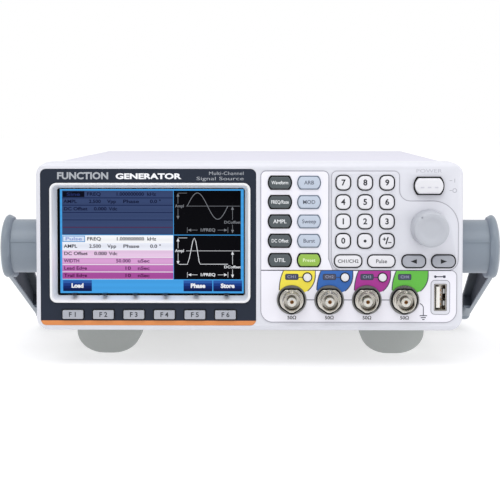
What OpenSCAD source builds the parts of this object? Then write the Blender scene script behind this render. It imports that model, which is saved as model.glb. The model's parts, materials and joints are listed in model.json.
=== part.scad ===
// Bench function generator: a half-rack case with a display, keys, a dial and four
// output sockets on its front frame, and a swinging carrying handle that stows underneath.
// Millimetres. +Z is up and the front looks along -Y. The origin is the middle of the
// footprint, on the table.

/* [Overall] */
// Depth from the face of the dial to the tips of the rear sockets
overall_d = 293; // [280:1:310]
// Height from the table to the top of the front frame
overall_h = 107; // [104:1:112]
// Height of the front frame above the table
ground_gap = 19.5; // [18:0.5:21]

/* [Front frame] */
// Width of the moulded front frame
frame_w = 221; // [219:1:223]
// How far the frame reaches back from its face
frame_depth = 16; // [15:0.5:20]
// Wall thickness of the frame
frame_wall = 2.5; // [2:0.1:3]
// Corner radius of the frame seen from the front
frame_corner = 8; // [6:0.5:9]
// Rounding of the frame's front edge
frame_nose = 3; // [2:0.5:3.5]

/* [Case] */
// Outer width of the sheet metal cover
case_w = 213; // [212:0.5:214]
// Sheet metal thickness
sheet = 1; // [0.8:0.1:1.2]
// Distance from the face of the frame to the rear panel
case_back = 264; // [260:1:266]

/* [Display] */
// Width of the silver display surround
display_w = 103.8; // [103:0.1:105]
// Height of the silver display surround
display_h = 62.1; // [61:0.1:63]
// Width of the viewing opening
window_w = 97.4; // [96:0.1:98]
// Height of the viewing opening
window_h = 55.7; // [55:0.1:56]

/* [Keys] */
// How far the key caps stand out of the face
key_rise = 1.6; // [1.2:0.1:2]
// Travel of a key
key_travel = 1.0; // [0.6:0.1:1.2]
// Gap between a key and its opening
key_gap = 0.45; // [0.35:0.05:0.55]
// Distance between the rows of keys
row_pitch = 10; // [9.8:0.1:10.2]
// Travel of the power button
power_travel = 3; // [2:0.5:3]

/* [Dial] */
// Radius of the dial
dial_r = 9.5; // [9:0.1:10]
// How far the face of the dial stands out
dial_out = 15; // [14:0.5:17]

/* [Sockets] */
// Distance between the output sockets
socket_pitch = 19.4; // [19:0.1:20]
// Radius of a socket's barrel
barrel_r = 4.83; // [4.8:0.01:4.85]
// How far an output socket stands out of the face
barrel_out = 12.5; // [11:0.5:13]

/* [Handle] */
// Half the width over the handle arms
arm_outer = 133.2; // [132:0.2:135]
// Depth of an arm's channel section
arm_depth = 6.7; // [6:0.1:8]
// Distance of the handle's pivot behind the face
pivot_back = 30; // [28:1:34]
// Height of the handle's pivot
pivot_z = 60.8; // [58:0.2:63]
// Radius of the round end of an arm
arm_disc_r = 16.8; // [16:0.2:18]
// Radius of the fixed hub
hub_r = 13.9; // [13:0.1:15]

/* [Hidden] */
$fn = 48;
eps = 0.01;

// Places along Y
front_y = dial_out - overall_d / 2;
rear_y = front_y + case_back;
// Front frame
frame_h = overall_h - ground_gap;
frame_z = ground_gap + frame_h / 2;
// Case
case_top = overall_h - 0.6;
case_floor = ground_gap + 1;
case_corner = 5.5;
tray_t = 1.2;
joint_back = frame_depth + 0.2;
inner_half = case_w / 2 - sheet - 0.1;

// Face layout: X from the middle, Z from the table
top_row_z = 96.3;
function row_z(row) = top_row_z - row * row_pitch;
// The bottom row's wide and arrow keys sit a little lower
wide_z = 55.8;
dark_column_x = 15.9;
light_column_x = 30.9;
digit_x = [48.5, 59.75, 71];
soft_x = [for (i = [0:5]) -91.2 + i * 15.8];
soft_z = 27.9;
wide_x = [51.1, 68.2];
arrow_x = [84.9, 100.2];
power_at = [92.5, 94.7];
dial_at = [92.5, 73.1];
shaft_r = 3;
socket_x = [for (i = [0:3]) 22 + i * socket_pitch];
socket_z = 35.7;
button_x = [for (i = [0:2]) 30.1 + i * socket_pitch];
button_z = 47.4;
button_r = 2.1;
usb_at = [98.7, 37.1];
display_at = [-51.2, 65.05];
fascia_box = [[-108, 22.2], [3.7, 103.4]];
panel_line_z = 51;
overlay_left = 6.1;
overlay_right = 107.1;
overlay_mid = 41;
overlay_top = 102.3;
overlay_low = 24.1;
pad_left = 42.5;
pad_step_x = 77.4;
pad_step_z = 86.9;
pad_right = 107.8;
land = 0.3;

// Key sizes: width, height
function_key = [11.3, 6.1];
digit_key = [7.2, 7.2];
wide_key = [13.8, 6.1];
arrow_key = [11.7, 6.1];
soft_key = [10.9, 4.7];
power_key = [14.4, 7.9];
key_end = 1.5;
power_end = 1.9;
digit_corner = 2.6;
wide_corner = 2.7;
soft_corner = 0.6;
flange_t = 0.9;
flange_back = frame_wall + 0.2;
flange_out = 0.95;
button_flange_out = 0.8;
plunger_tip = 5.4;
board_back = 8.2;
board_t = 1.6;
switch_gap = 0.3;
switch_top = plunger_tip + key_travel + switch_gap;
power_rise = 3.4;
power_gap = 0.65;
power_flange_out = 0.9;
power_tip = board_back - power_travel - switch_gap;

// Posts that hold the frame to the tray's front wall
post_at = [for (x = [-101, 101], z = [26.2, 101.3]) [x, z]];
post_r = 2.4;

// Handle: an arm is a disc on the hub, a wedge and a pad over the grip's end, in a frame at
// the pivot. The wedge's edges have a direction, and a distance from the pivot and the tip.
arm_tip = [113, -49.4];
arm_tip_r = 6;
upper_edge = -31.8;
upper_edge_r = 16;
upper_tip_r = 1.5;
lower_edge = -20.1;
lower_edge_r = 13.5;
arm_wall = 2.5;
channel_start = 15.5;
channel_end = 92;
tenon_r = 3.6;
pin_r = 5;
running = 0.05;
grip_box = [[131.5, 6.4], [160, 19.2]];
grip_size = grip_box[1] - grip_box[0];
grip_corner = 6;
// The grip's middle in the arms' frame
grip_mid = (grip_box[1] + grip_box[0]) / 2 - [pivot_back, pivot_z];

// ---- Outlines ----

function arc(cx, cz, r, from, to, n = 6) =
  [for (i = [0:n]) let (a = from + (to - from) * i / n) [cx + r * cos(a), cz + r * sin(a)]];

// A rectangle with round corners, centred
function rounded(w, h, r, n = 6) = concat(
  arc(w / 2 - r, h / 2 - r, r, 0, 90, n),
  arc(r - w / 2, h / 2 - r, r, 90, 180, n),
  arc(r - w / 2, r - h / 2, r, 180, 270, n),
  arc(w / 2 - r, r - h / 2, r, 270, 360, n));

// A rectangle whose short sides bulge by `bulge`, centred
function barrel(w, h, bulge, n = 8) =
  let (r = (h * h / 4 + bulge * bulge) / (2 * bulge), t = asin(h / 2 / r))
  concat(arc(w / 2 - r, 0, r, -t, t, n), arc(r - w / 2, 0, r, 180 - t, 180 + t, n));

// The point `along` a line at angle `turn` that starts beside `point`, `offset` to its left
function beside(point, turn, offset, along = 0) =
  point + offset * [-sin(turn), cos(turn)] + along * [cos(turn), sin(turn)];

module slab(points, from, to) {
  translate([0, 0, from]) linear_extrude(to - from) polygon(points);
}

// Local Z points out of the front face, local Y up
module on_front(x, z) {
  translate([x, front_y, z]) rotate([90, 0, 0]) children();
}

// Local Z points out of the rear panel, local Y up
module on_rear(x, z) {
  translate([x, rear_y, z]) rotate([90, 0, 180]) children();
}

// A box between two corners
module block(low, high) {
  translate(low) cube(high - low);
}

// A box given by X, distance behind the face, and Z
module block_back(low, high) {
  translate([0, front_y, 0]) block(low, high);
}

// ---- Keys ----

function grow(size, by) = [size[0] + 2 * by, size[1] + 2 * by];

// Outline of a key of a given kind, grown by `by`
function key_outline(kind, by) =
  kind == "function" ? let (s = grow(function_key, by)) barrel(s[0], s[1], key_end) :
  kind == "power" ? let (s = grow(power_key, by)) barrel(s[0], s[1], power_end) :
  kind == "digit" ? let (s = grow(digit_key, by)) rounded(s[0], s[1], digit_corner + by) :
  kind == "wide" ? let (s = grow(wide_key, by)) rounded(s[0], s[1], wide_corner + by) :
  kind == "arrow" ? let (s = grow(arrow_key, by)) rounded(s[0], s[1], wide_corner + by) :
  kind == "soft" ? let (s = grow(soft_key, by)) rounded(s[0], s[1], soft_corner + by) :
  arc(0, 0, button_r + by, 0, 345, 23);

// Every key: name, kind, X, Z
KEYS = concat(
  [for (i = [0:5]) [str("soft_key_", i + 1), "soft", soft_x[i], soft_z]],
  [for (i = [0:4])
    [["waveform_key", "frequency_key", "amplitude_key", "offset_key", "utility_key"][i],
     "function", dark_column_x, row_z(i)]],
  [for (i = [0:4])
    [["arbitrary_key", "modulation_key", "sweep_key", "burst_key", "preset_key"][i],
     "function", light_column_x, row_z(i)]],
  [for (d = [1:9])
    [str("digit_", d, "_key"), "digit", digit_x[(d - 1) % 3], row_z(2 - floor((d - 1) / 3))]],
  [["digit_0_key", "digit", digit_x[0], row_z(3)],
   ["point_key", "digit", digit_x[1], row_z(3)],
   ["sign_key", "digit", digit_x[2], row_z(3)],
   ["channel_key", "wide", wide_x[0], wide_z],
   ["pulse_key", "wide", wide_x[1], wide_z],
   ["left_key", "arrow", arrow_x[0], wide_z],
   ["right_key", "arrow", arrow_x[1], wide_z]],
  [for (i = [0:2]) [str("output_", i + 1, "_button"), "button", button_x[i], button_z]]);

// A cap with a flange behind the frame's wall and a plunger that reaches its switch
module key_cap(kind) {
  slab(key_outline(kind, 0), -flange_back - eps, key_rise);
  slab(key_outline(kind, kind == "button" ? button_flange_out : flange_out),
    -flange_back - flange_t, -flange_back);
  slab(rounded(2.4, 2.4, 0.3, 2), -plunger_tip, -flange_back);
}

module key(entry) {
  tint = entry[1] == "soft" || entry[1] == "arrow" ? "silver" : "white";
  shade = entry[2] == dark_column_x ? "dimgray" : entry[2] == light_column_x ? "lightsteelblue" : tint;
  color(entry[0] == "preset_key" ? "yellowgreen" : shade)
    on_front(entry[2], entry[3]) key_cap(entry[1]);
}

module power_button() {
  color("whitesmoke") on_front(power_at[0], power_at[1]) {
    slab(key_outline("power", 0), -flange_back - eps, power_rise);
    slab(key_outline("power", power_flange_out), -flange_back - flange_t, -flange_back);
    slab(rounded(3, 3, 0.4, 2), -power_tip, -flange_back);
  }
}

// A hollow knob on a shaft that runs in the encoder
module dial() {
  low = land + 0.6;
  bevel = 1;
  wall = 1.5;
  hollow_top = 9;
  shaft_low = -6;
  color("lightgray") on_front(dial_at[0], dial_at[1]) {
    difference() {
      union() {
        translate([0, 0, low]) cylinder(r = dial_r, h = dial_out - bevel - low);
        translate([0, 0, dial_out - bevel - eps])
          cylinder(r1 = dial_r, r2 = dial_r - bevel, h = bevel + eps);
      }
      translate([0, 0, -1]) cylinder(r = dial_r - wall, h = hollow_top + 1);
    }
    translate([0, 0, shaft_low]) cylinder(r = shaft_r, h = hollow_top + 0.5 - shaft_low);
  }
}

// ---- Front ----

// Keypad land: a rectangle whose upper right part steps back round the power button
function pad_outline() = let (r = 2.6, b = 5.5, big = 13, z0 = panel_line_z) concat(
  arc(pad_left + r, overlay_top - r, r, 180, 90),
  arc(pad_step_x - r, overlay_top - r, r, 90, 0),
  arc(pad_step_x + b, pad_step_z + b, b, 180, 270),
  arc(pad_right - big, pad_step_z - big, big, 90, 0, 10),
  arc(pad_right - b, z0 + b, b, 0, -90),
  arc(pad_left + b, z0 + b, b, 270, 180));

// Overlay: the key column's panel and the socket panel under it, in one sheet
function overlay_outline() = let (r = 2.6, c = 6, n = 3) concat(
  arc(overlay_left + r, overlay_top - r, r, 180, 90),
  arc(overlay_mid - r, overlay_top - r, r, 90, 0),
  [[overlay_mid, panel_line_z + 6], [overlay_mid + 2.2, panel_line_z]],
  arc(overlay_right - n, panel_line_z - n, n, 90, 0),
  arc(overlay_right - c, overlay_low + c, c, 0, -90),
  arc(overlay_left + c, overlay_low + c, c, 270, 180));

module key_openings(from, to) {
  for (k = KEYS) on_front(k[2], k[3]) slab(key_outline(k[1], key_gap), from, to);
  on_front(power_at[0], power_at[1]) slab(key_outline("power", power_gap), from, to);
}

module socket_openings(radius, from, to) {
  for (x = socket_x) on_front(x, socket_z) translate([0, 0, from]) cylinder(r = radius, h = to - from);
}

module frame_envelope() {
  half = frame_w / 2;
  n = frame_nose;
  intersection() {
    on_front(0, frame_z) slab(rounded(frame_w, frame_h, frame_corner, 8), -frame_depth, 0);
    translate([-half - 1, front_y, 0]) rotate([90, 0, 90]) linear_extrude(frame_w + 2)
      polygon(concat([[frame_depth, ground_gap], [frame_depth, overall_h]],
        arc(n, overall_h - n, n, 90, 180), arc(n, ground_gap + n, n, 180, 270)));
    translate([0, front_y, ground_gap - 1]) linear_extrude(frame_h + 2)
      polygon(concat([[half, frame_depth], [-half, frame_depth]],
        arc(n - half, n, n, 180, 270), arc(half - n, n, n, 270, 360)));
  }
}

module front_frame() {
  wall = frame_wall;
  fascia_size = fascia_box[1] - fascia_box[0];
  fascia_mid = (fascia_box[1] + fascia_box[0]) / 2;
  color("whitesmoke") difference() {
    union() {
      difference() {
        union() {
          frame_envelope();
          on_front(0, 0) slab(pad_outline(), -1, land);
          on_front(usb_at[0], usb_at[1]) slab(rounded(9.4, 17.4, 1.9), -1, 2 * land);
        }
        on_front(0, frame_z)
          slab(rounded(frame_w - 2 * wall, frame_h - 2 * wall, frame_corner - wall, 8),
            -frame_depth - 1, -wall);
      }
      for (p = post_at) on_front(p[0], p[1])
        translate([0, 0, -joint_back]) cylinder(r = post_r, h = joint_back - wall + eps);
    }
    for (p = post_at) on_front(p[0], p[1])
      translate([0, 0, -joint_back - 1]) cylinder(r = 1.25, h = 9);
    on_front(fascia_mid[0], fascia_mid[1])
      slab(rounded(fascia_size[0], fascia_size[1], 3), -1.2, 1);
    on_front(display_at[0], display_at[1])
      slab(rounded(display_w - 1.6, display_h - 1.6, 3.2), -wall - 1, 1);
    key_openings(-wall - 1, 2);
    socket_openings(6.5, -wall - 1, 1);
    on_front(usb_at[0], usb_at[1]) slab(rounded(6.6, 14.1, 0.5, 2), -wall - 1, 2);
    on_front(dial_at[0], dial_at[1]) translate([0, 0, -wall - 1]) cylinder(r = 3.9, h = wall + 3);
  }
}

module panel_overlay() {
  color("white") difference() {
    on_front(0, 0) slab(overlay_outline(), 0, land);
    key_openings(-1, 1);
    socket_openings(6.5, -1, 1);
    on_front(usb_at[0], usb_at[1]) slab(rounded(9.6, 17.6, 2), -1, 1);
  }
}

module display_fascia() {
  size = fascia_box[1] - fascia_box[0];
  mid = (fascia_box[1] + fascia_box[0]) / 2;
  color("darkslategray") difference() {
    on_front(mid[0], mid[1]) slab(rounded(size[0] - 0.2, size[1] - 0.2, 2.9), -1.2, 0);
    on_front(display_at[0], display_at[1])
      slab(rounded(display_w - 1.6, display_h - 1.6, 3.2), -2, 1);
    key_openings(-2, 1);
  }
}

// A raised surround with a skirt behind it, and walls that slope in to the window
module display_surround() {
  skirt_back = 6.9;
  color("gainsboro") on_front(display_at[0], display_at[1]) difference() {
    union() {
      slab(rounded(display_w, display_h, 3.6), 0, 1);
      slab(rounded(display_w - 2, display_h - 2, 3), -skirt_back, eps);
    }
    hull() {
      slab(rounded(display_w - 2.2, display_h - 2.2, 2.8), 1, 1.5);
      slab(rounded(window_w, window_h, 1), -skirt_back - 0.5, -skirt_back + 0.2);
    }
  }
}

module display_module() {
  color("black") on_front(display_at[0], display_at[1]) {
    slab(rounded(101, 60, 1), -8, -7);
    slab(rounded(105.4, 67, 1), -11.5, -8.1);
  }
}

// ---- Sockets ----

// The flange of an output socket: round, flat on top, with two flats that meet below
module flange_shape(r, height) {
  intersection() {
    cylinder(r = r, h = height);
    translate([-r, -r - 1, -1]) cube([2 * r, 2 * r + 0.1, height + 2]);
    translate([0, -r, -1]) rotate(45) cube([4 * r, 4 * r, height + 2]);
  }
}

module coaxial_shell(reach, body_back) {
  difference() {
    union() {
      translate([0, 0, land + 0.9]) flange_shape(6.3, 1.6);
      translate([0, 0, -body_back]) cylinder(r = 6, h = body_back + 1.3);
      translate([0, 0, 1]) cylinder(r = barrel_r, h = reach - 1);
      for (side = [-1, 1]) translate([0, 0, reach - 5.4]) rotate([90, 0, 0])
        translate([0, 0, side * 4.9 - 0.6]) cylinder(r = 1, h = 1.2);
    }
    translate([0, 0, 2]) cylinder(r = 4.05, h = reach);
    translate([0, 0, -body_back - 1]) cylinder(r = 2.4, h = body_back + 4);
    translate([0, 0, reach - 4.35]) difference() {
      cylinder(r = 6, h = 0.25);
      translate([0, 0, -1]) cylinder(r = barrel_r - 0.25, h = 3);
    }
  }
  difference() {
    translate([0, 0, land]) cylinder(r = 7.6, h = 0.85);
    translate([0, 0, -1]) cylinder(r = 6.05, h = 4);
  }
}

module coaxial_core(reach, body_back) {
  difference() {
    translate([0, 0, -body_back]) cylinder(r = 2.35, h = body_back + reach - 2.5);
    translate([0, 0, 0]) cylinder(r = 0.75, h = reach);
  }
}

rear_socket_x = [-90, -71, -52, -33];
rear_socket_z = 42;
rear_reach = overall_d - dial_out - case_back;

module socket_shells() {
  color("silver") {
    for (x = socket_x) on_front(x, socket_z) coaxial_shell(barrel_out, 15);
    for (x = rear_socket_x) on_rear(x, rear_socket_z) translate([0, 0, -land])
      coaxial_shell(rear_reach + land, 15);
  }
}

module socket_cores() {
  color("white") {
    for (x = socket_x) on_front(x, socket_z) coaxial_core(barrel_out, 18);
    for (x = rear_socket_x) on_rear(x, rear_socket_z) translate([0, 0, -land])
      coaxial_core(rear_reach + land, 18);
  }
}

network_at = [22, 38];
device_at = [0, 37];

module tube_shell(w, h, corner, from, to, wall) {
  difference() {
    slab(rounded(w, h, corner, 2), from, to);
    slab(rounded(w - 2 * wall, h - 2 * wall, max(corner - wall, 0.1), 2), from + 1, to + 1);
  }
}

module data_sockets() {
  color("silver") {
    on_front(usb_at[0], usb_at[1]) {
      tube_shell(6.2, 13.7, 0.4, -14, 0.4, 0.4);
      translate([-2.1, -5.55, -13]) cube([1.8, 11.1, 12.4]);
    }
    on_rear(device_at[0], device_at[1]) {
      tube_shell(9.2, 8.6, 0.6, -12, 0.6, 0.4);
      translate([-2.8, -1.6, -11]) cube([5.6, 3.2, 9]);
    }
    on_rear(network_at[0], network_at[1]) tube_shell(15.8, 13.4, 0.4, -16, 0.6, 1.4);
  }
}

// ---- Case ----

module cover_profile(half, top, low, corner) {
  polygon(concat([[half, low]], arc(half - corner, top - corner, corner, 0, 90),
    arc(corner - half, top - corner, corner, 90, 180), [[-half, low]]));
}

// Extrudes an X-Z outline between two distances behind the face
module along_case(from, to) {
  translate([0, front_y + to, 0]) rotate([90, 0, 0]) linear_extrude(to - from) children();
}

side_screw_back = [46, 232];
side_screw_z = 27;

module side_vents() {
  for (row = [0, 1], i = [0:13])
    block_back([-case_w, 142 + i * 8, 50 + row * 22], [case_w, 144.5 + i * 8, 66 + row * 22]);
}

module side_holes(radius, inner, outer) {
  for (side = [-1, 1], back = side_screw_back)
    translate([side * (inner + outer) / 2, front_y + back, side_screw_z])
      rotate([0, 90, 0]) cylinder(r = radius, h = outer - inner, center = true);
}

module top_cover() {
  half = case_w / 2;
  color("lavender") difference() {
    along_case(joint_back, case_back) cover_profile(half, case_top, case_floor, case_corner);
    along_case(joint_back - 1, case_back + 1)
      cover_profile(half - sheet, case_top - sheet, case_floor - 1, case_corner - sheet);
    side_vents();
    side_holes(1.6, half - 3, half + 1);
  }
}

standoff_at = [for (x = [-92, 44], back = [32, 140, 248]) [x, back]];
supply_standoff_at = [for (x = [56, 100], back = [150, 246]) [x, back]];
board_z = 29;
foot_at = [for (x = [-78, 78], back = [57, 231]) [x, back]];

tray_top = case_floor + tray_t;
tray_side_z = 40;

module tray_profile() {
  h = inner_half;
  polygon([[-h, case_floor], [h, case_floor], [h, tray_side_z], [h - tray_t, tray_side_z],
    [h - tray_t, tray_top], [tray_t - h, tray_top], [tray_t - h, tray_side_z], [-h, tray_side_z]]);
}

// Folded sheet with two sides; its floor is slotted for air
module chassis_tray() {
  color("silver") difference() {
    along_case(joint_back, case_back - 1.4) tray_profile();
    for (i = [0:11], x = [-60, 30]) block_back([x, 90 + i * 8, 10], [x + 26, 92.6 + i * 8, 24]);
    for (p = foot_at) translate([p[0], front_y + p[1], 10]) cylinder(r = 1.6, h = 20);
    side_holes(1.55, inner_half - 3, inner_half + 1);
  }
}

// Plate behind the front frame, with a window for the boards and the display
module front_bulkhead() {
  half = inner_half;
  narrow = half - tray_t - 0.1;
  corner = case_corner - sheet;
  top = case_top - sheet - 0.8;
  color("silver") difference() {
    along_case(joint_back, joint_back + tray_t) polygon(concat(
      [[narrow, tray_top], [narrow, tray_side_z + 0.1], [half, tray_side_z + 0.1]],
      arc(half - corner, top - corner, corner, 0, 90), arc(corner - half, top - corner, corner, 90, 180),
      [[-half, tray_side_z + 0.1], [-narrow, tray_side_z + 0.1], [-narrow, tray_top]]));
    along_case(joint_back - 1, joint_back + 3) polygon([[-96, 31], [96, 31], [96, 97], [-96, 97]]);
    for (p = post_at) on_front(p[0], p[1]) translate([0, 0, -25]) cylinder(r = 1.6, h = 20);
  }
}

module board_standoffs() {
  color("silver") for (p = concat(standoff_at, supply_standoff_at))
    translate([p[0], front_y + p[1], tray_top]) difference() {
      cylinder(r = 3, h = board_z - tray_top);
      translate([0, 0, 1.5]) cylinder(r = 1.25, h = board_z);
    }
}

fan_at = [60, 78];
fan_size = 40;
inlet_at = [74, 42];
rear_screw_at = [for (x = [-100, 100], z = [27, 100]) [x, z]];

module rear_panel() {
  color("lightgray") difference() {
    along_case(case_back - 1.3, case_back)
      cover_profile(inner_half, case_top - sheet - 0.1, case_floor + tray_t + 0.1, case_corner - sheet);
    for (x = rear_socket_x) on_rear(x, rear_socket_z) translate([0, 0, -5]) cylinder(r = 6.1, h = 10);
    on_rear(device_at[0], device_at[1]) slab(rounded(9.6, 9, 0.6, 2), -5, 5);
    on_rear(network_at[0], network_at[1]) slab(rounded(16.2, 13.8, 0.4, 2), -5, 5);
    on_rear(inlet_at[0], inlet_at[1]) slab(rounded(27.4, 19.8, 2), -5, 5);
    for (i = [-4:4]) let (c = 17.5 * cos(asin(i * 4 / 18)))
      on_rear(fan_at[0] + i * 4, fan_at[1]) slab(rounded(2.6, 2 * c, 1.2, 3), -5, 5);
    for (p = rear_screw_at) on_rear(p[0], p[1]) translate([0, 0, -5]) cylinder(r = 1.6, h = 10);
    for (x = [-16, 16], z = [-16, 16])
      on_rear(fan_at[0] + x, fan_at[1] + z) translate([0, 0, -5]) cylinder(r = 1.6, h = 10);
  }
}

module mains_inlet() {
  color("black") on_rear(inlet_at[0], inlet_at[1]) {
    difference() {
      union() {
        slab(rounded(31, 24, 2.5), 0, 2);
        slab(rounded(27, 19.4, 2), -20, eps);
      }
      slab([[-12.3, -8.3], [12.3, -8.3], [12.3, 4.5], [8.6, 8.3], [-8.6, 8.3], [-12.3, 4.5]], -14, 3);
    }
    for (p = [[-7, -1.5], [7, -1.5], [0, 2.5]])
      translate([p[0] - 1, p[1] - 2, -14.5]) cube([2, 4, 12]);
  }
}

foot_w = 35;
foot_len = 18;

// Foot seen from the front: straight sides, elliptical underside and a narrow flat
function foot_outline() = let (half = foot_w / 2, flat = 2.5, turn = 12) concat(
  [[half, case_floor]],
  [for (a = [0:10:90]) [flat + (half - flat) * cos(a), turn - turn * sin(a)]],
  [for (a = [90:-10:0]) [-flat - (half - flat) * cos(a), turn - turn * sin(a)]],
  [[-half, case_floor]]);

module feet() {
  color("gray") for (p = foot_at) difference() {
    translate([p[0], front_y + p[1] + foot_len / 2, 0]) rotate([90, 0, 0])
      linear_extrude(foot_len) polygon(foot_outline());
    translate([p[0], front_y + p[1], 9]) cylinder(r = 1.5, h = 20);
  }
}

// ---- Handle ----

// Local X runs along the arm from the pivot, local Z outwards from the case
module on_arm(side) {
  translate([0, front_y + pivot_back, pivot_z])
    rotate([90, 0, 90]) mirror([0, 0, side < 0 ? 1 : 0]) children();
}

module arm_blade(shrink, from, to) {
  translate([0, 0, from]) linear_extrude(to - from)
    polygon(arc(0, 0, arm_disc_r - shrink, 0, 352, 44));
  slab([
    beside([0, 0], upper_edge, upper_edge_r - shrink),
    beside(arm_tip, upper_edge, upper_tip_r - shrink),
    beside(arm_tip, lower_edge, shrink - arm_tip_r),
    beside([0, 0], lower_edge, shrink - lower_edge_r)], from, to);
  translate([grip_mid[0], grip_mid[1], 0])
    slab(rounded(grip_size[0] - 2 * shrink, grip_size[1] - 2 * shrink, grip_corner - shrink), from, to);
}

module handle_arm(side) {
  inner = arm_outer - arm_depth;
  web = 2.4;
  upper = upper_edge_r - arm_wall;
  // the hollow is open along the arm's lower edge
  lower = -lower_edge_r - 1;
  color("slategray") on_arm(side) difference() {
    union() {
      arm_blade(0, inner, arm_outer - 2);
      arm_blade(0.7, arm_outer - 2 - eps, arm_outer - 0.8);
      arm_blade(2, arm_outer - 0.8 - eps, arm_outer);
    }
    translate([0, 0, inner - 1]) cylinder(r = hub_r + 0.3, h = 3);
    slab([
      beside([0, 0], upper_edge, upper, channel_start),
      beside([0, 0], upper_edge, upper, channel_end),
      beside([0, 0], lower_edge, lower, channel_end),
      beside([0, 0], lower_edge, lower, channel_start)], inner - 1, arm_outer - web);
    translate([0, 0, inner - 1]) cylinder(r = pin_r + running, h = arm_depth + 2);
    translate([grip_mid[0], grip_mid[1], inner - 1]) cylinder(r = tenon_r + 0.02, h = 4);
  }
}

// The bar between the arms, with a round tenon into each tip
module handle_grip() {
  half = arm_outer - arm_depth;
  color("slategray") {
    translate([-half, front_y + pivot_back + grip_mid[0], pivot_z + grip_mid[1]]) rotate([90, 0, 90])
      linear_extrude(2 * half) polygon(rounded(grip_size[0], grip_size[1], grip_corner));
    for (side = [-1, 1]) on_arm(side)
      translate([grip_mid[0], grip_mid[1], half - 1]) cylinder(r = tenon_r, h = 3.8);
  }
}

module handle_hubs() {
  seat = arm_outer - arm_depth + 1.9;
  base = case_w / 2;
  color("gray") for (side = [-1, 1]) on_arm(side) {
    translate([0, 0, base]) cylinder(r = hub_r, h = seat - base);
    rotate(165) translate([hub_r - 1, -0.5, base]) cube([1.3, 1, seat - base]);
    translate([0, 0, seat - 1]) cylinder(r = pin_r, h = arm_outer + 1.2 - seat);
    translate([0, 0, arm_outer + 0.1]) cylinder(r1 = 6.6, r2 = 5.8, h = 0.7);
  }
}

// ---- Inside ----

module key_board() {
  z0 = -board_back - board_t;
  z1 = -board_back;
  color("darkgreen") {
    difference() {
      union() {
        on_front(0, 0) slab([[4.2, 23.6], [106, 23.6], [106, 102.6], [4.2, 102.6]], z0, z1);
        on_front(0, 0) slab([[-104, 23.6], [4.3, 23.6], [4.3, 31], [-104, 31]], z0, z1);
      }
      socket_openings(6.3, z0 - 1, z1 + 1);
      on_front(usb_at[0], usb_at[1]) slab(rounded(7, 14.5, 0.5, 2), z0 - 1, z1 + 1);
      for (p = post_at) on_front(p[0], p[1]) translate([0, 0, z0 - 1]) cylinder(r = 2.7, h = 4);
    }
    for (k = KEYS) on_front(k[2], k[3]) slab(rounded(3.6, 3.6, 0.3, 2), z1, -switch_top);
    on_front(power_at[0], power_at[1]) slab(rounded(8, 8, 0.3, 2), z0 - 6, z0);
    on_front(dial_at[0], dial_at[1]) difference() {
      union() {
        slab(rounded(12, 12, 0.5, 2), z1, -3.2);
        translate([0, 0, -3.3]) cylinder(r = 3.5, h = 10.3);
      }
      translate([0, 0, -7]) cylinder(r = shaft_r + running, h = 20);
    }
  }
}

module board(x0, x1, back0, back1) {
  block_back([x0, back0, board_z], [x1, back1, board_z + board_t]);
}

// A part that stands on a board: centre, size
module on_board(x, back, size) {
  block_back([x - size[0] / 2, back - size[1] / 2, board_z + board_t],
    [x + size[0] / 2, back + size[1] / 2, board_z + board_t + size[2]]);
}

module can(x, back, radius, height) {
  translate([x, front_y + back, board_z + board_t]) cylinder(r = radius, h = height);
}

module main_board() {
  color("seagreen") {
    difference() {
      board(-98, 50, 26, 243);
      for (p = standoff_at) translate([p[0], front_y + p[1], 20]) cylinder(r = 1.6, h = 20);
    }
    on_board(-60, 90, [27, 27, 2.6]);
    on_board(-18, 120, [20, 20, 1.6]);
    for (i = [0:3]) on_board(-70 + i * 30, 60, [18, 22, 6]);
    for (i = [0:3]) on_board(-75 + i * 22, 165, [10, 14, 1.5]);
    for (i = [0:2]) can(20 + i * 11, 150, 4, 12);
    on_board(-30, 205, [70, 40, 8]);
    on_board(25, 215, [24, 30, 14]);
  }
}

module power_supply() {
  color("olivedrab") {
    difference() {
      board(52, 103.5, 120, 256);
      for (p = supply_standoff_at) translate([p[0], front_y + p[1], 20]) cylinder(r = 1.6, h = 20);
    }
    on_board(76, 168, [32, 28, 26]);
    on_board(60, 200, [8, 34, 28]);
    can(86, 202, 10, 24);
    can(70, 138, 5, 18);
    can(84, 138, 5, 18);
    on_board(96, 225, [8, 18, 14]);
  }
}

fan_t = 10;
fan_gap = 1.4;

module fan_frame() {
  color("black") on_rear(fan_at[0], fan_at[1]) {
    difference() {
      slab(rounded(fan_size, fan_size, 3), -fan_gap - fan_t, -fan_gap);
      translate([0, 0, -20]) cylinder(r = 18.6, h = 30);
      for (x = [-16, 16], y = [-16, 16]) translate([x, y, -20]) cylinder(r = 1.55, h = 30);
    }
    difference() {
      union() {
        translate([0, 0, -fan_gap - fan_t]) cylinder(r = 9, h = 1.6);
        for (a = [45:90:360]) rotate(a) translate([6, -1, -fan_gap - fan_t]) cube([14, 2, 1.6]);
        translate([0, 0, -fan_gap - fan_t]) cylinder(r = 2.6, h = 6);
      }
      translate([0, 0, -20]) cylinder(r = 1 + running, h = 30);
    }
  }
}

module fan_rotor() {
  color("dimgray") on_rear(fan_at[0], fan_at[1]) translate([0, 0, -fan_gap - fan_t]) {
    difference() {
      translate([0, 0, 2.2]) cylinder(r = 9.2, h = 7.2);
      translate([0, 0, 1]) cylinder(r = 8.2, h = 7);
    }
    translate([0, 0, 0.5]) cylinder(r = 1, h = 8);
    for (i = [0:6]) rotate(i * 360 / 7)
      translate([8.7, 0, 5.8]) rotate([38, 0, 0]) translate([0, -3.6, -0.5]) cube([9, 7.2, 1]);
  }
}

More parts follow.
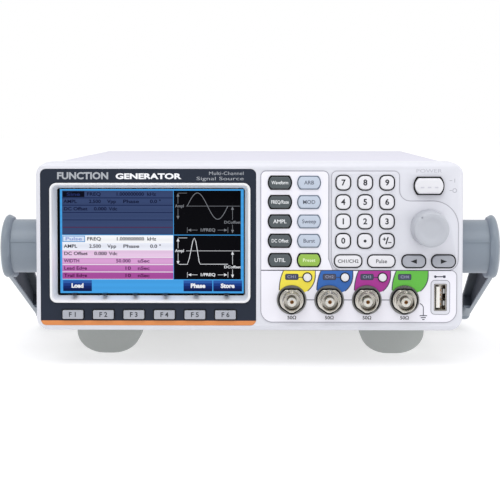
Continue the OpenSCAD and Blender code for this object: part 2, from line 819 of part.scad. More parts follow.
// Pan head screw pointing along -Z, its head's underside at the origin
module pan_screw(length) {
  difference() {
    cylinder(r1 = 2.9, r2 = 2.3, h = 1.9);
    for (a = [0, 90]) rotate(a) translate([-1.5, -0.3, 0.9]) cube([3, 0.6, 2]);
  }
  translate([0, 0, -length]) cylinder(r = 1.5, h = length + eps);
}

module screws() {
  half = case_w / 2;
  color("silver") {
    for (side = [-1, 1], back = side_screw_back)
      translate([side * half, front_y + back, side_screw_z]) rotate([0, side * 90, 0]) pan_screw(6);
    for (p = rear_screw_at) on_rear(p[0], p[1]) pan_screw(5);
    for (p = foot_at) translate([p[0], front_y + p[1], case_floor + tray_t]) pan_screw(8);
    for (x = [-16, 16], z = [-16, 16]) on_rear(fan_at[0] + x, fan_at[1] + z) pan_screw(10);
  }
}

// ---- Nodes ----

for (k = KEYS) key(k);
power_button();
dial();
handle_arm(-1);  // handle_arm_left
handle_arm(1);  // handle_arm_right
handle_grip();
front_frame();
panel_overlay();
display_fascia();
display_surround();
display_module();
socket_shells();
socket_cores();
data_sockets();
top_cover();
chassis_tray();
front_bulkhead();
board_standoffs();
rear_panel();
handle_hubs();
feet();
key_board();
main_board();
power_supply();
fan_frame();
fan_rotor();
mains_inlet();
screws();
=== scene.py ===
"""Looks of a bench function generator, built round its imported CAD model."""
import json
import math

import bmesh
import bpy
from bpy.props import FloatProperty, FloatVectorProperty, PointerProperty
from mathutils import Matrix, Vector


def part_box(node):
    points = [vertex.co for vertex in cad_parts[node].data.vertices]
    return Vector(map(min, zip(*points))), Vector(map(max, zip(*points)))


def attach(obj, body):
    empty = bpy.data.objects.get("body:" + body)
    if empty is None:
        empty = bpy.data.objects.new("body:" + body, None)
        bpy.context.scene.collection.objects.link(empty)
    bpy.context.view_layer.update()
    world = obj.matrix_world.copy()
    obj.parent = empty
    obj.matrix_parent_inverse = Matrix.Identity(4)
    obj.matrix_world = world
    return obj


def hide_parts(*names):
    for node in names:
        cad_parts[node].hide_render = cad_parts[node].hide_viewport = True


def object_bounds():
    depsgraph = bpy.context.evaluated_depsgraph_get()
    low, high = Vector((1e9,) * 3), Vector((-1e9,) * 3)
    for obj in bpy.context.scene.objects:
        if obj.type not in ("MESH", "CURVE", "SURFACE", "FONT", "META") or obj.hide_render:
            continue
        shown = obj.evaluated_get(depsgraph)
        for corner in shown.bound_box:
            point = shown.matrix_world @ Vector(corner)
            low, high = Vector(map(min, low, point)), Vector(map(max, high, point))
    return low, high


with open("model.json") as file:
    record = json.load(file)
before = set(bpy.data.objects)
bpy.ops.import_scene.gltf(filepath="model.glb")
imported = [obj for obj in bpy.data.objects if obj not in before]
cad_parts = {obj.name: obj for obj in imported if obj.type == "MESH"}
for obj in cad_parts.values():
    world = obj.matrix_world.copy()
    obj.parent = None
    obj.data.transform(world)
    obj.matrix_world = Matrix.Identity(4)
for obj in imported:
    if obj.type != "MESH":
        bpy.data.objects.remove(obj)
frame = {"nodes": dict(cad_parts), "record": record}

bl_info = {
    "name": "Function generator",
    "version": (1, 0, 0),
    "blender": (4, 5, 0),
    "location": "View3D > Sidebar > Generator",
    "description": "Finishes the case, display, keys, sockets and handle of a bench function generator",
    "category": "Object",
}

CAD_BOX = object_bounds()
MM = 0.001
CASE = "case"
SLOTS = {part["node"]: part["material_slot"] for part in frame["record"]["subparts"]}


# ---- Colours, materials ----

def linear(code):
    """An sRGB hex colour such as "#d9d9e4" as linear red, green and blue."""
    parts = [int(code[i:i + 2], 16) / 255 for i in (1, 3, 5)]
    return tuple(c / 12.92 if c <= 0.04045 else ((c + 0.055) / 1.055) ** 2.4 for c in parts)


def rgba(colour, scale=1.0):
    return (*[min(1.0, c * scale) for c in colour[:3]], 1.0)


def add(tree, kind, values=None, links=None, **settings):
    """Adds a node with its settings, socket values and the sockets that feed it."""
    node = tree.nodes.new("ShaderNode" + kind)
    for name, value in settings.items():
        setattr(node, name, value)
    for name, value in (values or {}).items():
        node.inputs[name].default_value = value
    for name, source in (links or {}).items():
        tree.links.new(source, node.inputs[name])
    return node


def per_mm(size):
    """The noise scale that gives features of that many millimetres."""
    return 1 / (size * MM)


def surface(name, colour, roughness, grain=0.5, relief=0.01, mottle=0.05, spread=0.06,
            stretch=(1, 1, 1), **shader):
    """A material whose tone drifts over some centimetres, with a fine grain in relief."""
    made = bpy.data.materials.get(name)
    if made:
        return made
    made = bpy.data.materials.new(name)
    made.use_nodes = True
    made.diffuse_color = rgba(colour)
    tree = made.node_tree
    tree.nodes.clear()
    place = add(tree, "TexCoord").outputs["Object"]
    stretched = add(tree, "Mapping", {"Scale": stretch}, {"Vector": place}).outputs["Vector"]
    fine = add(tree, "TexNoise", {"Scale": per_mm(grain), "Detail": 4.0, "Roughness": 0.6},
               {"Vector": stretched}).outputs["Fac"]
    broad = add(tree, "TexNoise", {"Scale": per_mm(24), "Detail": 3.0}, {"Vector": place}).outputs["Fac"]
    both = add(tree, "Mix", {"Factor": 0.4}, {"A": broad, "B": fine}, data_type="FLOAT").outputs["Result"]
    tint = add(tree, "ValToRGB", links={"Fac": both})
    tint.color_ramp.elements[0].position, tint.color_ramp.elements[1].position = 0.35, 0.65
    tint.color_ramp.elements[0].color = rgba(colour, 1 - mottle)
    tint.color_ramp.elements[1].color = rgba(colour, 1 + mottle)
    rough = add(tree, "MapRange", {"From Min": 0.3, "From Max": 0.7, "To Min": roughness - spread,
                                   "To Max": roughness + spread}, {"Value": both}).outputs["Result"]
    bump = add(tree, "Bump", {"Strength": 1.0, "Distance": relief * MM}, {"Height": fine})
    body = add(tree, "BsdfPrincipled", shader, {
        "Base Color": tint.outputs["Color"], "Roughness": rough, "Normal": bump.outputs["Normal"]})
    add(tree, "OutputMaterial", links={"Surface": body.outputs["BSDF"]})
    return made


def inked(name, roughness, lit=0.0, pitch=0.4, shine=0.4):
    """Print, painted shade or display picture: colour from the "ink" attribute, with a fine row pattern."""
    made = bpy.data.materials.get(name)
    if made:
        return made
    made = bpy.data.materials.new(name)
    made.use_nodes = True
    tree = made.node_tree
    tree.nodes.clear()
    place = add(tree, "TexCoord").outputs["Object"]
    ink = add(tree, "Attribute", attribute_name="ink").outputs["Color"]
    rows = add(tree, "TexWave", {"Scale": per_mm(pitch) / 20, "Distortion": 0.0}, {"Vector": place},
               wave_type="BANDS", bands_direction="Z").outputs["Fac"]
    specks = add(tree, "TexNoise", {"Scale": per_mm(0.3)}, {"Vector": place}).outputs["Fac"]
    shade = add(tree, "MapRange", {"To Min": 0.93, "To Max": 1.0},
                {"Value": rows if lit else specks}).outputs["Result"]
    toned = add(tree, "VectorMath", links={0: ink, 1: shade}, operation="MULTIPLY").outputs["Vector"]
    if lit:
        body = add(tree, "BsdfPrincipled", {"Base Color": (0.004, 0.004, 0.005, 1), "Roughness": roughness,
                                            "Specular IOR Level": shine, "Emission Strength": lit},
                   {"Emission Color": toned})
    else:
        body = add(tree, "BsdfPrincipled", {"Roughness": roughness, "Specular IOR Level": shine},
                   {"Base Color": toned})
    add(tree, "OutputMaterial", links={"Surface": body.outputs["BSDF"]})
    return made


def frame_plastic():
    """ABS, injection moulded in a spark-eroded mould: a satin, very slightly pebbled lavender white."""
    return surface("moulded_abs", looks().frame_colour, 0.46, grain=0.5, relief=0.006, mottle=0.012)


def cover_paint():
    """Powder coat on sheet steel: satin, with a fine orange peel."""
    return surface("powder_coat", looks().cover_colour, 0.42, grain=1.1, relief=0.012, mottle=0.012)


def overlay_sheet():
    """Reverse printed polyester sheet with a matt grain: the whitest surface of the front."""
    return surface("polyester_overlay", looks().overlay_colour, 0.5, grain=0.4, relief=0.004, mottle=0.01)


def fascia_sheet():
    """Printed polyester, dark blue grey, a little glossier than the frame."""
    return surface("dark_overlay", looks().fascia_colour, 0.5, grain=0.4, relief=0.004, mottle=0.05,
                   **{"Specular IOR Level": 0.2})


def silver_paint():
    """Silver paint on ABS: fine metal flakes that brighten and grey it by turns."""
    return surface("silver_paint", linear("#e9eaed"), 0.42, grain=0.25, relief=0.004, mottle=0.03,
                   Metallic=0.12)


def key_silver():
    """Silver painted keycaps, satin."""
    return surface("silver_keycap", linear("#a9acb5"), 0.42, grain=0.25, relief=0.004, mottle=0.03,
                   Metallic=0.2)


def key_rubber(name, code):
    """Pad printed silicone rubber: soft sheen, hardly any gloss."""
    return surface("silicone_" + name, linear(code), 0.55, grain=0.3, relief=0.004, mottle=0.02)


def key_plastic():
    """White ABS keycaps, satin."""
    return surface("white_keycap", linear("#e0e0e5"), 0.4, grain=0.3, relief=0.003, mottle=0.01)


def black_rubber_and_gap_shade():
    """Black and almost unlit: painted shade in the gaps round the keys; also the coaxial sockets' black
    bushings and the data socket's gasket.
    """
    return surface("black_silicone_and_gap_shade", linear("#0b0c0e"), 0.6, grain=0.4, relief=0.01, mottle=0.1,
                   **{"Specular IOR Level": 0.25})


def dial_plastic():
    """Light grey ABS, finely textured so that fingers grip it."""
    return surface("textured_abs", linear("#b4b7bf"), 0.5, grain=0.35, relief=0.008, mottle=0.012)


def handle_plastic():
    """Glass filled nylon, blue grey: satin, with a moulded grain."""
    return surface("filled_nylon", looks().handle_colour, 0.42, grain=0.6, relief=0.012, mottle=0.04)


def hub_plastic():
    """Moulded ABS, blue grey, slightly lighter and smoother than the handle."""
    return surface("grey_abs", linear("#828c97"), 0.4, grain=0.5, relief=0.008, mottle=0.03)


def foot_plastic():
    """Moulded plastic feet in a neutral, slightly green grey."""
    return surface("foot_abs", linear("#b3b7b5"), 0.5, grain=0.7, relief=0.015, mottle=0.04)


def painted_shade_nylon():
    """Nearly black, dull nylon: painted shade inside the arms' channels and on the grip bar, which lie in
    shadow.
    """
    return surface("painted_shade_nylon", linear("#2d353e"), 0.6, grain=0.6, relief=0.012, mottle=0.08)


def light_key_gap_shade():
    """Blue grey painted shade in the gaps round the light keys."""
    return surface("grey_gap_shade", linear("#6f7d8f"), 0.55, grain=0.4, relief=0.008, mottle=0.05)


def gunmetal():
    """Black nickel on the lock washers: dark, bright only where it catches the light."""
    return surface("black_nickel", linear("#7d7d7b"), 0.3, grain=0.4, relief=0.004, mottle=0.1,
                   Metallic=1.0)


def nickel():
    """Nickel plated brass: bright, a little warm, turned so that fine rings streak it."""
    return surface("nickel_plate", linear("#c9c5bd"), 0.22, grain=0.3, relief=0.002, mottle=0.06,
                   Metallic=1.0)


def steel():
    """Zinc plated steel: pale, with a cloudy sheen."""
    return surface("zinc_plate", linear("#b9babb"), 0.34, grain=2.0, relief=0.004, mottle=0.1,
                   stretch=(1, 6, 6), Metallic=1.0)


def brass():
    """Gold plated contact, worn a little brown."""
    return surface("contact_gold", linear("#9a6f45"), 0.3, grain=0.3, relief=0.002, mottle=0.1,
                   Metallic=1.0)


def white_resin():
    """PTFE: waxy white, light goes a little way in."""
    return surface("ptfe", linear("#f1ece4"), 0.45, grain=0.3, relief=0.002, mottle=0.02,
                   **{"Subsurface Weight": 0.1})


def black_plastic():
    """Black nylon: satin."""
    return surface("black_nylon", linear("#17181a"), 0.42, grain=0.5, relief=0.01, mottle=0.1)


def solder_mask():
    """Glass epoxy board under green solder mask: glossy, mottled by copper below."""
    return surface("solder_mask", linear("#1d5a34"), 0.28, grain=1.6, relief=0.01, mottle=0.25)


def display_glass():
    """The display's black border behind polished glass."""
    return surface("display_glass", linear("#030304"), 0.2, grain=3.0, relief=0.0005, mottle=0.1,
                   **{"Specular IOR Level": 0.05})


def ink_print_and_shade():
    """Screen printed ink, satin; also painted shade in the surround's notches and along the keypad land's
    step.
    """
    return inked("printed_ink_and_painted_shade", 0.45)


def lit_pixels():
    """Backlit liquid crystal: it glows evenly; its rows are drawn coarser than the real 0.1 mm ones."""
    return inked("lit_pixels", 0.3, lit=0.97, pitch=0.5, shine=0.0)


# ---- Places ----

def face_y():
    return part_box("display_fascia")[0].y / MM


def on_front():
    """Local X right, Y up, Z out of the front face, in millimetres."""
    return Matrix(((1, 0, 0, 0), (0, 0, -1, face_y()), (0, 1, 0, 0), (0, 0, 0, 1)))


def on_rear():
    """Local X right, Y up, Z out of the rear panel, seen from behind."""
    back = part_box("rear_panel")[1].y / MM
    return Matrix(((-1, 0, 0, 0), (0, 0, 1, back), (0, 1, 0, 0), (0, 0, 0, 1)))


def middle(node):
    """A node's centre in the front's X and Y, in millimetres."""
    low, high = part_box(node)
    return (low.x + high.x) / 2 / MM, (low.z + high.z) / 2 / MM


def size(node):
    low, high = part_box(node)
    return (high - low) / MM


# ---- Shapes, in millimetres ----

def arc(cx, cy, radius, start, end, steps=6):
    turns = [math.radians(start + (end - start) * i / steps) for i in range(steps + 1)]
    return [(cx + radius * math.cos(t), cy + radius * math.sin(t)) for t in turns]


def rounded(x0, y0, x1, y1, radius, steps=6):
    """A rectangle with round corners."""
    r = radius
    return (arc(x1 - r, y1 - r, r, 0, 90, steps) + arc(x0 + r, y1 - r, r, 90, 180, steps)
            + arc(x0 + r, y0 + r, r, 180, 270, steps) + arc(x1 - r, y0 + r, r, 270, 360, steps))


def centred(x, y, width, height, radius, steps=6):
    return rounded(x - width / 2, y - height / 2, x + width / 2, y + height / 2, radius, steps)


def barrel(x, y, width, height, bulge, steps=10):
    """A rectangle whose short sides bulge."""
    r = (height * height / 4 + bulge * bulge) / (2 * bulge)
    turn = math.degrees(math.asin(height / 2 / r))
    reach = width / 2 - r
    return arc(x + reach, y, r, -turn, turn, steps) + arc(x - reach, y, r, 180 - turn, 180 + turn, steps)


def prism(bm, outline, low, high):
    """A closed block with that outline between two heights. Returns its far face's edges."""
    base = bm.faces.new([bm.verts.new((x, y, low)) for x, y in outline])
    grown = bmesh.ops.extrude_face_region(bm, geom=[base], use_keep_orig=True)["geom"]
    top = [v for v in grown if isinstance(v, bmesh.types.BMVert)]
    bmesh.ops.translate(bm, vec=(0, 0, high - low), verts=top)
    return [e for e in grown if isinstance(e, bmesh.types.BMEdge)]


def band(bm, outer, inner, low, high):
    """A closed ring between two outlines with as many points."""
    rings = []
    for outline, z in ((outer, low), (outer, high), (inner, high), (inner, low)):
        verts = [bm.verts.new((x, y, z)) for x, y in outline]
        rings.append([bm.edges.new(pair) for pair in zip(verts, verts[1:] + verts[:1])])
    for one, two in zip(rings, rings[1:] + rings[:1]):
        bmesh.ops.bridge_loops(bm, edges=one + two)


def lathe(bm, profile, x=0.0, y=0.0, steps=48):
    """Spins a closed outline of (radius, height) points round an axis along Z."""
    verts = [bm.verts.new((x + r, y, z)) for r, z in profile]
    edges = [bm.edges.new(pair) for pair in zip(verts, verts[1:] + verts[:1])]
    bmesh.ops.spin(bm, geom=verts + edges, cent=(x, y, 0), axis=(0, 0, 1), angle=math.tau,
                   steps=steps, use_merge=True)


def sharp_edges(bm, angle=35):
    return [e for e in bm.edges if e.is_manifold and e.calc_face_angle(0) > math.radians(angle)]


def soften(bm, edges, width, segments=2):
    bmesh.ops.bevel(bm, geom=list(set(edges)), offset=width, offset_type="OFFSET", segments=segments,
                    profile=0.5,
                    affect="EDGES", material=-1, clamp_overlap=True, loop_slide=True)


def cad_mesh(node):
    """A CAD node's shape in millimetres, with its triangles merged into whole faces."""
    bm = bmesh.new()
    bm.from_mesh(frame["nodes"][node].data)
    bmesh.ops.scale(bm, vec=(1 / MM,) * 3, verts=bm.verts)
    bmesh.ops.remove_doubles(bm, verts=bm.verts, dist=0.001)
    bmesh.ops.dissolve_limit(bm, angle_limit=math.radians(0.4), verts=bm.verts, edges=bm.edges)
    return bm


def piece(name, bm, materials, body=CASE, node=None, replaces=(), crease=32, turn=True, place=None):
    """Makes a bmesh in millimetres a finished piece that rides on a body."""
    if place:
        bm.transform(place)
    bmesh.ops.remove_doubles(bm, verts=bm.verts, dist=0.0005)
    if turn:
        bmesh.ops.recalc_face_normals(bm, faces=bm.faces)
    for edge in bm.edges:
        edge.smooth = edge.calc_face_angle(math.pi) < math.radians(crease)
    for face in bm.faces:
        face.smooth = True
    bmesh.ops.scale(bm, vec=(MM,) * 3, verts=bm.verts)
    mesh = bpy.data.meshes.new(name)
    bm.to_mesh(mesh)
    bm.free()
    made = bpy.data.objects.new(name, mesh)
    bpy.context.scene.collection.objects.link(made)
    for material in materials if isinstance(materials, list) else [materials]:
        mesh.materials.append(material)
    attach(made, body)
    if replaces or node:
        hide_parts(*(replaces or [node]))
    return made


def refined(node, name, material, width, segments=2, body=CASE, angle=35, crease=32):
    """A CAD node with its sharp edges rounded."""
    bm = cad_mesh(node)
    if width:
        soften(bm, sharp_edges(bm, angle), width, segments)
    return piece(name, bm, material, body, node, crease=crease)


class Artwork:
    """Thin printed or lit shapes, and shapes of painted shade, each with its own colour in the "ink"
    attribute.
    """

    def __init__(self):
        self.bm = bmesh.new()
        self.ink = self.bm.loops.layers.float_color.new("ink")

    def paint(self, start, colour):
        self.bm.faces.ensure_lookup_table()
        for face in self.bm.faces[start:]:
            for loop in face.loops:
                loop[self.ink] = (*colour, 1.0)

    def shape(self, outline, low, high, colour):
        start = len(self.bm.faces)
        prism(self.bm, outline, low, high)
        self.paint(start, colour)

    def insert(self, curve, place, colour):
        """Adds a curve or text as a mesh."""
        holder = bpy.data.objects.new("drawing", curve)
        bpy.context.scene.collection.objects.link(holder)
        bpy.context.view_layer.update()
        mesh = bpy.data.meshes.new_from_object(holder.evaluated_get(bpy.context.evaluated_depsgraph_get()))
        mesh.transform(place)
        start = len(self.bm.faces)
        self.bm.from_mesh(mesh)
        self.paint(start, colour)
        bpy.data.objects.remove(holder)
        bpy.data.curves.remove(curve)
        bpy.data.meshes.remove(mesh)

    def text(self, words, height, x, y, z, colour, align="CENTER", width=None, bold=0.0, slant=0.0):
        """Lettering with capitals of that height, squeezed to a width if one is given."""
        curve = bpy.data.curves.new("lettering", "FONT")
        curve.body = words
        curve.size = 1.0
        curve.align_x, curve.align_y = align, "CENTER"
        curve.resolution_u = 3
        curve.offset = bold
        curve.shear = slant
        curve.extrude = 0.5
        tall = height / 0.72
        wide = tall
        if width:
            holder = bpy.data.objects.new("measure", curve)
            bpy.context.scene.collection.objects.link(holder)
            bpy.context.view_layer.update()
            wide = width / holder.dimensions.x
            bpy.data.objects.remove(holder)
        place = Matrix.Translation((x, y, z)) @ Matrix.Diagonal((wide, tall, INK, 1))
        self.insert(curve, place, colour)

    def stroke(self, points, width, z, colour, closed=False):
        """A line of that width along the points."""
        curve = bpy.data.curves.new("line", "CURVE")
        curve.dimensions = "3D"
        curve.bevel_depth = width / 2
        curve.bevel_resolution = 1
        curve.use_fill_caps = not closed
        spline = curve.splines.new("POLY")
        spline.points.add(len(points) - 1)
        for point, (x, y) in zip(spline.points, points):
            point.co = (x, y, 0, 1)
        spline.use_cyclic_u = closed
        flat = INK / width
        self.insert(curve, Matrix.Translation((0, 0, z)) @ Matrix.Diagonal((1, 1, flat, 1)), colour)

    def finish(self, name, material, body=CASE, place=None):
        return piece(name, self.bm, material, body, place=place)


INK = 0.06          # thickness of printed shapes
ROW = 3.8           # pitch of the display's rows
WHITE = linear("#f2f3f8")
BLACK = linear("#101114")
PRINT_GREY = linear("#8d8e9a")
PRINT_DARK = linear("#3a3c4c")


# ---- Settings ----

def colour_setting(name, about, code):
    return FloatVectorProperty(name=name, description=about, subtype="COLOR", size=3, min=0, max=1,
                               default=linear(code))


class GeneratorLooks(bpy.types.PropertyGroup):
    """Colours and finish of the case, front and handle."""
    frame_colour: colour_setting("Frame", "Colour of the moulded front frame", "#d9dae2")
    cover_colour: colour_setting("Cover", "Colour of the painted cover and rear panel", "#cfcedd")
    overlay_colour: colour_setting("Overlay", "Colour of the printed sheet round the keys", "#ecebf4")
    fascia_colour: colour_setting("Fascia", "Colour of the dark sheet round the display", "#232a38")
    stripe_colour: colour_setting("Stripe", "Colour of the stripe under the display", "#d9894f")
    handle_colour: colour_setting("Handle", "Colour of the handle's arms and grip", "#7e8893")
    edge_radius: FloatProperty(name="Edge radius", description="Rounding of moulded edges", unit="LENGTH",
                               default=0.3 * MM, min=0.1 * MM, max=0.6 * MM)
    key_radius: FloatProperty(name="Key radius", description="Rounding of the keys' front edges",
                              unit="LENGTH", default=0.6 * MM, min=0.2 * MM, max=0.9 * MM)
    line_width: FloatProperty(name="Line width", description="Width of printed lines", unit="LENGTH",
                              default=0.4 * MM, min=0.2 * MM, max=0.8 * MM)


class GeneratorStage(bpy.types.PropertyGroup):
    """Camera and light."""
    eye_distance: FloatProperty(name="Eye distance", description="Camera to front face", unit="LENGTH",
                                default=0.7336, min=0.4, max=2)
    eye_height: FloatProperty(name="Eye height", description="Camera above the table", unit="LENGTH",
                              default=0.1296, min=0.05, max=1)
    eye_side: FloatProperty(name="Eye side", description="Camera to the right of the middle",
                            unit="LENGTH", default=0.0109, min=-0.2, max=0.2)
    key_power: FloatProperty(name="Overhead power", description="Power of the overhead softbox",
                             unit="POWER", default=9, min=0, max=100)
    room_light: FloatProperty(name="Room light", description="Strength of the light from the viewer's side",
                              default=0.45, min=0, max=2)


def looks():
    return bpy.context.scene.generator_looks


# ---- Front ----

OVERLAY_Z = 0.3     # the printed sheet's and the keypad land's height above the face
SURROUND_BAND = 4.35    # width of the display surround's face


def panel_lines():
    """The frame's raised keypad land and the overlay, as outlines on the front."""
    low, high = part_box("panel_overlay")
    left, right, bottom, top = low.x / MM, high.x / MM, low.z / MM, high.z / MM
    shelf = bottom + 26.9
    land_left, land_right = left + 36.4, right + 0.7
    keys = (arc(left + 2.6, top - 2.6, 2.6, 180, 90) + arc(left + 32.3, top - 2.6, 2.6, 90, 0)
            + [(left + 34.9, shelf + 6), (left + 37.1, shelf), (left, shelf)])
    sockets = (arc(right - 3, shelf - 3, 3, 90, 0) + arc(right - 6, bottom + 6, 6, 0, -90, 8)
               + arc(left + 6, bottom + 6, 6, 270, 180, 8) + [(left, shelf)])
    land = (arc(land_left + 2.6, top - 2.6, 2.6, 180, 90) + arc(left + 68.7, top - 2.6, 2.6, 90, 0)
            + arc(left + 76.8, top - 9.9, 5.5, 180, 270) + arc(land_right - 13, top - 28.4, 13, 90, 0, 12)
            + arc(land_right - 5.5, shelf + 5.5, 5.5, 0, -90)
            + arc(land_left + 5.5, shelf + 5.5, 5.5, 270, 180))
    return keys, sockets, land


class FG_OT_front(bpy.types.Operator):
    """Finish the moulded frame and the printed sheet, and draw the lines on them: printed outlines, and
    painted shade along the keypad land's step
    """
    bl_idname = "generator.front"
    bl_label = "Front frame"

    def execute(self, context):
        radius = looks().edge_radius / MM
        bm = cad_mesh("front_frame")
        soften(bm, sharp_edges(bm, 50), radius * 0.7, 2)
        piece("frame_moulding", bm, frame_plastic(), node="front_frame")
        refined("panel_overlay", "printed_overlay", overlay_sheet(), 0.08, 1)
        keys, sockets, land = panel_lines()
        art = Artwork()
        wide = looks().line_width / MM
        top = OVERLAY_Z + INK / 4
        art.stroke(keys, wide, top, linear("#9a99a6"), closed=True)
        art.stroke(sockets, wide, top, linear("#a3a2ad"), closed=True)
        # The grey line round the keypad land is painted shade along the step at its edge, not print.
        art.stroke(land, wide, top, linear("#a9a8b2"), closed=True)
        shelf = [(keys[-1][0] + 0.1, keys[-1][1]), (sockets[0][0], keys[-1][1])]
        art.stroke(shelf, wide * 1.2, top + 0.01, PRINT_DARK)
        art.finish("panel_lines", ink_print_and_shade(), place=on_front())
        return {"FINISHED"}


class FG_OT_socket_print(bpy.types.Operator):
    """Print the coloured badges, labels and signs round the output sockets"""
    bl_idname = "generator.socket_print"
    bl_label = "Socket print"

    def execute(self, context):
        art = Artwork()
        _, shelf = panel_lines()[0][-1]
        jacks = sorted((x, y) for x, y, front in socket_places() if front)
        first_x, socket_y = jacks[0]
        pitch = jacks[1][0] - first_x
        button_y = middle("output_1_button")[1]
        z = OVERLAY_Z
        colours = ["#f3e24a", "#2f66b5", "#a92f93", "#63bd45"]
        for i, code in enumerate(colours):
            x = first_x + i * pitch
            left = arc(x + 18.4, socket_y + 5.0, 24.8, 180, 155.5, 6)
            left = [(px, min(py, shelf)) for px, py in left]
            right = arc(x + 1.9, shelf - 2.6, 10.3, 0, -52, 8)
            badge = left + [(x + 12.2, shelf)] + right + [(x + 4, socket_y + 3), (x - 4, socket_y + 3)]
            art.shape(badge, z, z + INK, linear(code))
            art.stroke(left + [(x + 12.2, shelf)] + right, 0.5, z + INK, PRINT_DARK)
            art.shape(centred(x + 0.1, button_y + 0.2, 6.9, 3.2, 0.8), z, z + INK * 1.5, linear("#34374a"))
            art.shape(centred(x + 0.1, button_y + 0.2, 6.1, 2.4, 0.5), z, z + INK * 2, linear(
                "#4b4f66" if i % 2 else "#42465e"))
            art.text(f"CH{i + 1}", 1.5, x + 0.1, button_y + 0.2, z + INK * 2, linear("#9fa3bd"), width=4.2)
            if i < 3:
                art.stroke([(x + 3.4, button_y), (x + 5.9, button_y)], 0.4, z + INK * 1.5, PRINT_DARK)
                art.stroke([(x + 7.6, socket_y), (x + pitch - 7.6, socket_y)], 0.45, z + INK,
                           linear("#7d7e8c"))
            art.text("50Ω", 1.75, x + 0.1, socket_y - 9.35, z, BLACK, width=4.5, bold=0.02)
        ground_x = first_x + 3 * pitch + 9.8
        stem = arc(ground_x - 2.4, socket_y - 4.2, 2.4, 75, 0) + [(ground_x, socket_y - 8.0)]
        art.stroke(stem, 0.4, z + INK, PRINT_DARK)
        for half, drop in ((1.9, 8.1), (1.3, 9.1), (0.6, 10.1)):
            y = socket_y - drop
            art.stroke([(ground_x - half, y), (ground_x + half, y)], 0.45, z + INK, PRINT_DARK)
        usb_x = (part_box("panel_overlay")[1].x / MM) - 8.4
        art.shape(centred(usb_x - 0.4, shelf - 3.2, 3.4, 0.5, 0.2), z, z + INK, PRINT_DARK)
        art.shape(centred(usb_x + 2.0, shelf - 3.2, 1.3, 1.3, 0.3), z, z + INK, PRINT_DARK)
        art.shape(centred(usb_x - 2.6, shelf - 3.2, 1.3, 1.3, 0.6), z, z + INK, PRINT_DARK)
        art.finish("socket_print", ink_print_and_shade(), place=on_front())
        return {"FINISHED"}


# ---- Display ----

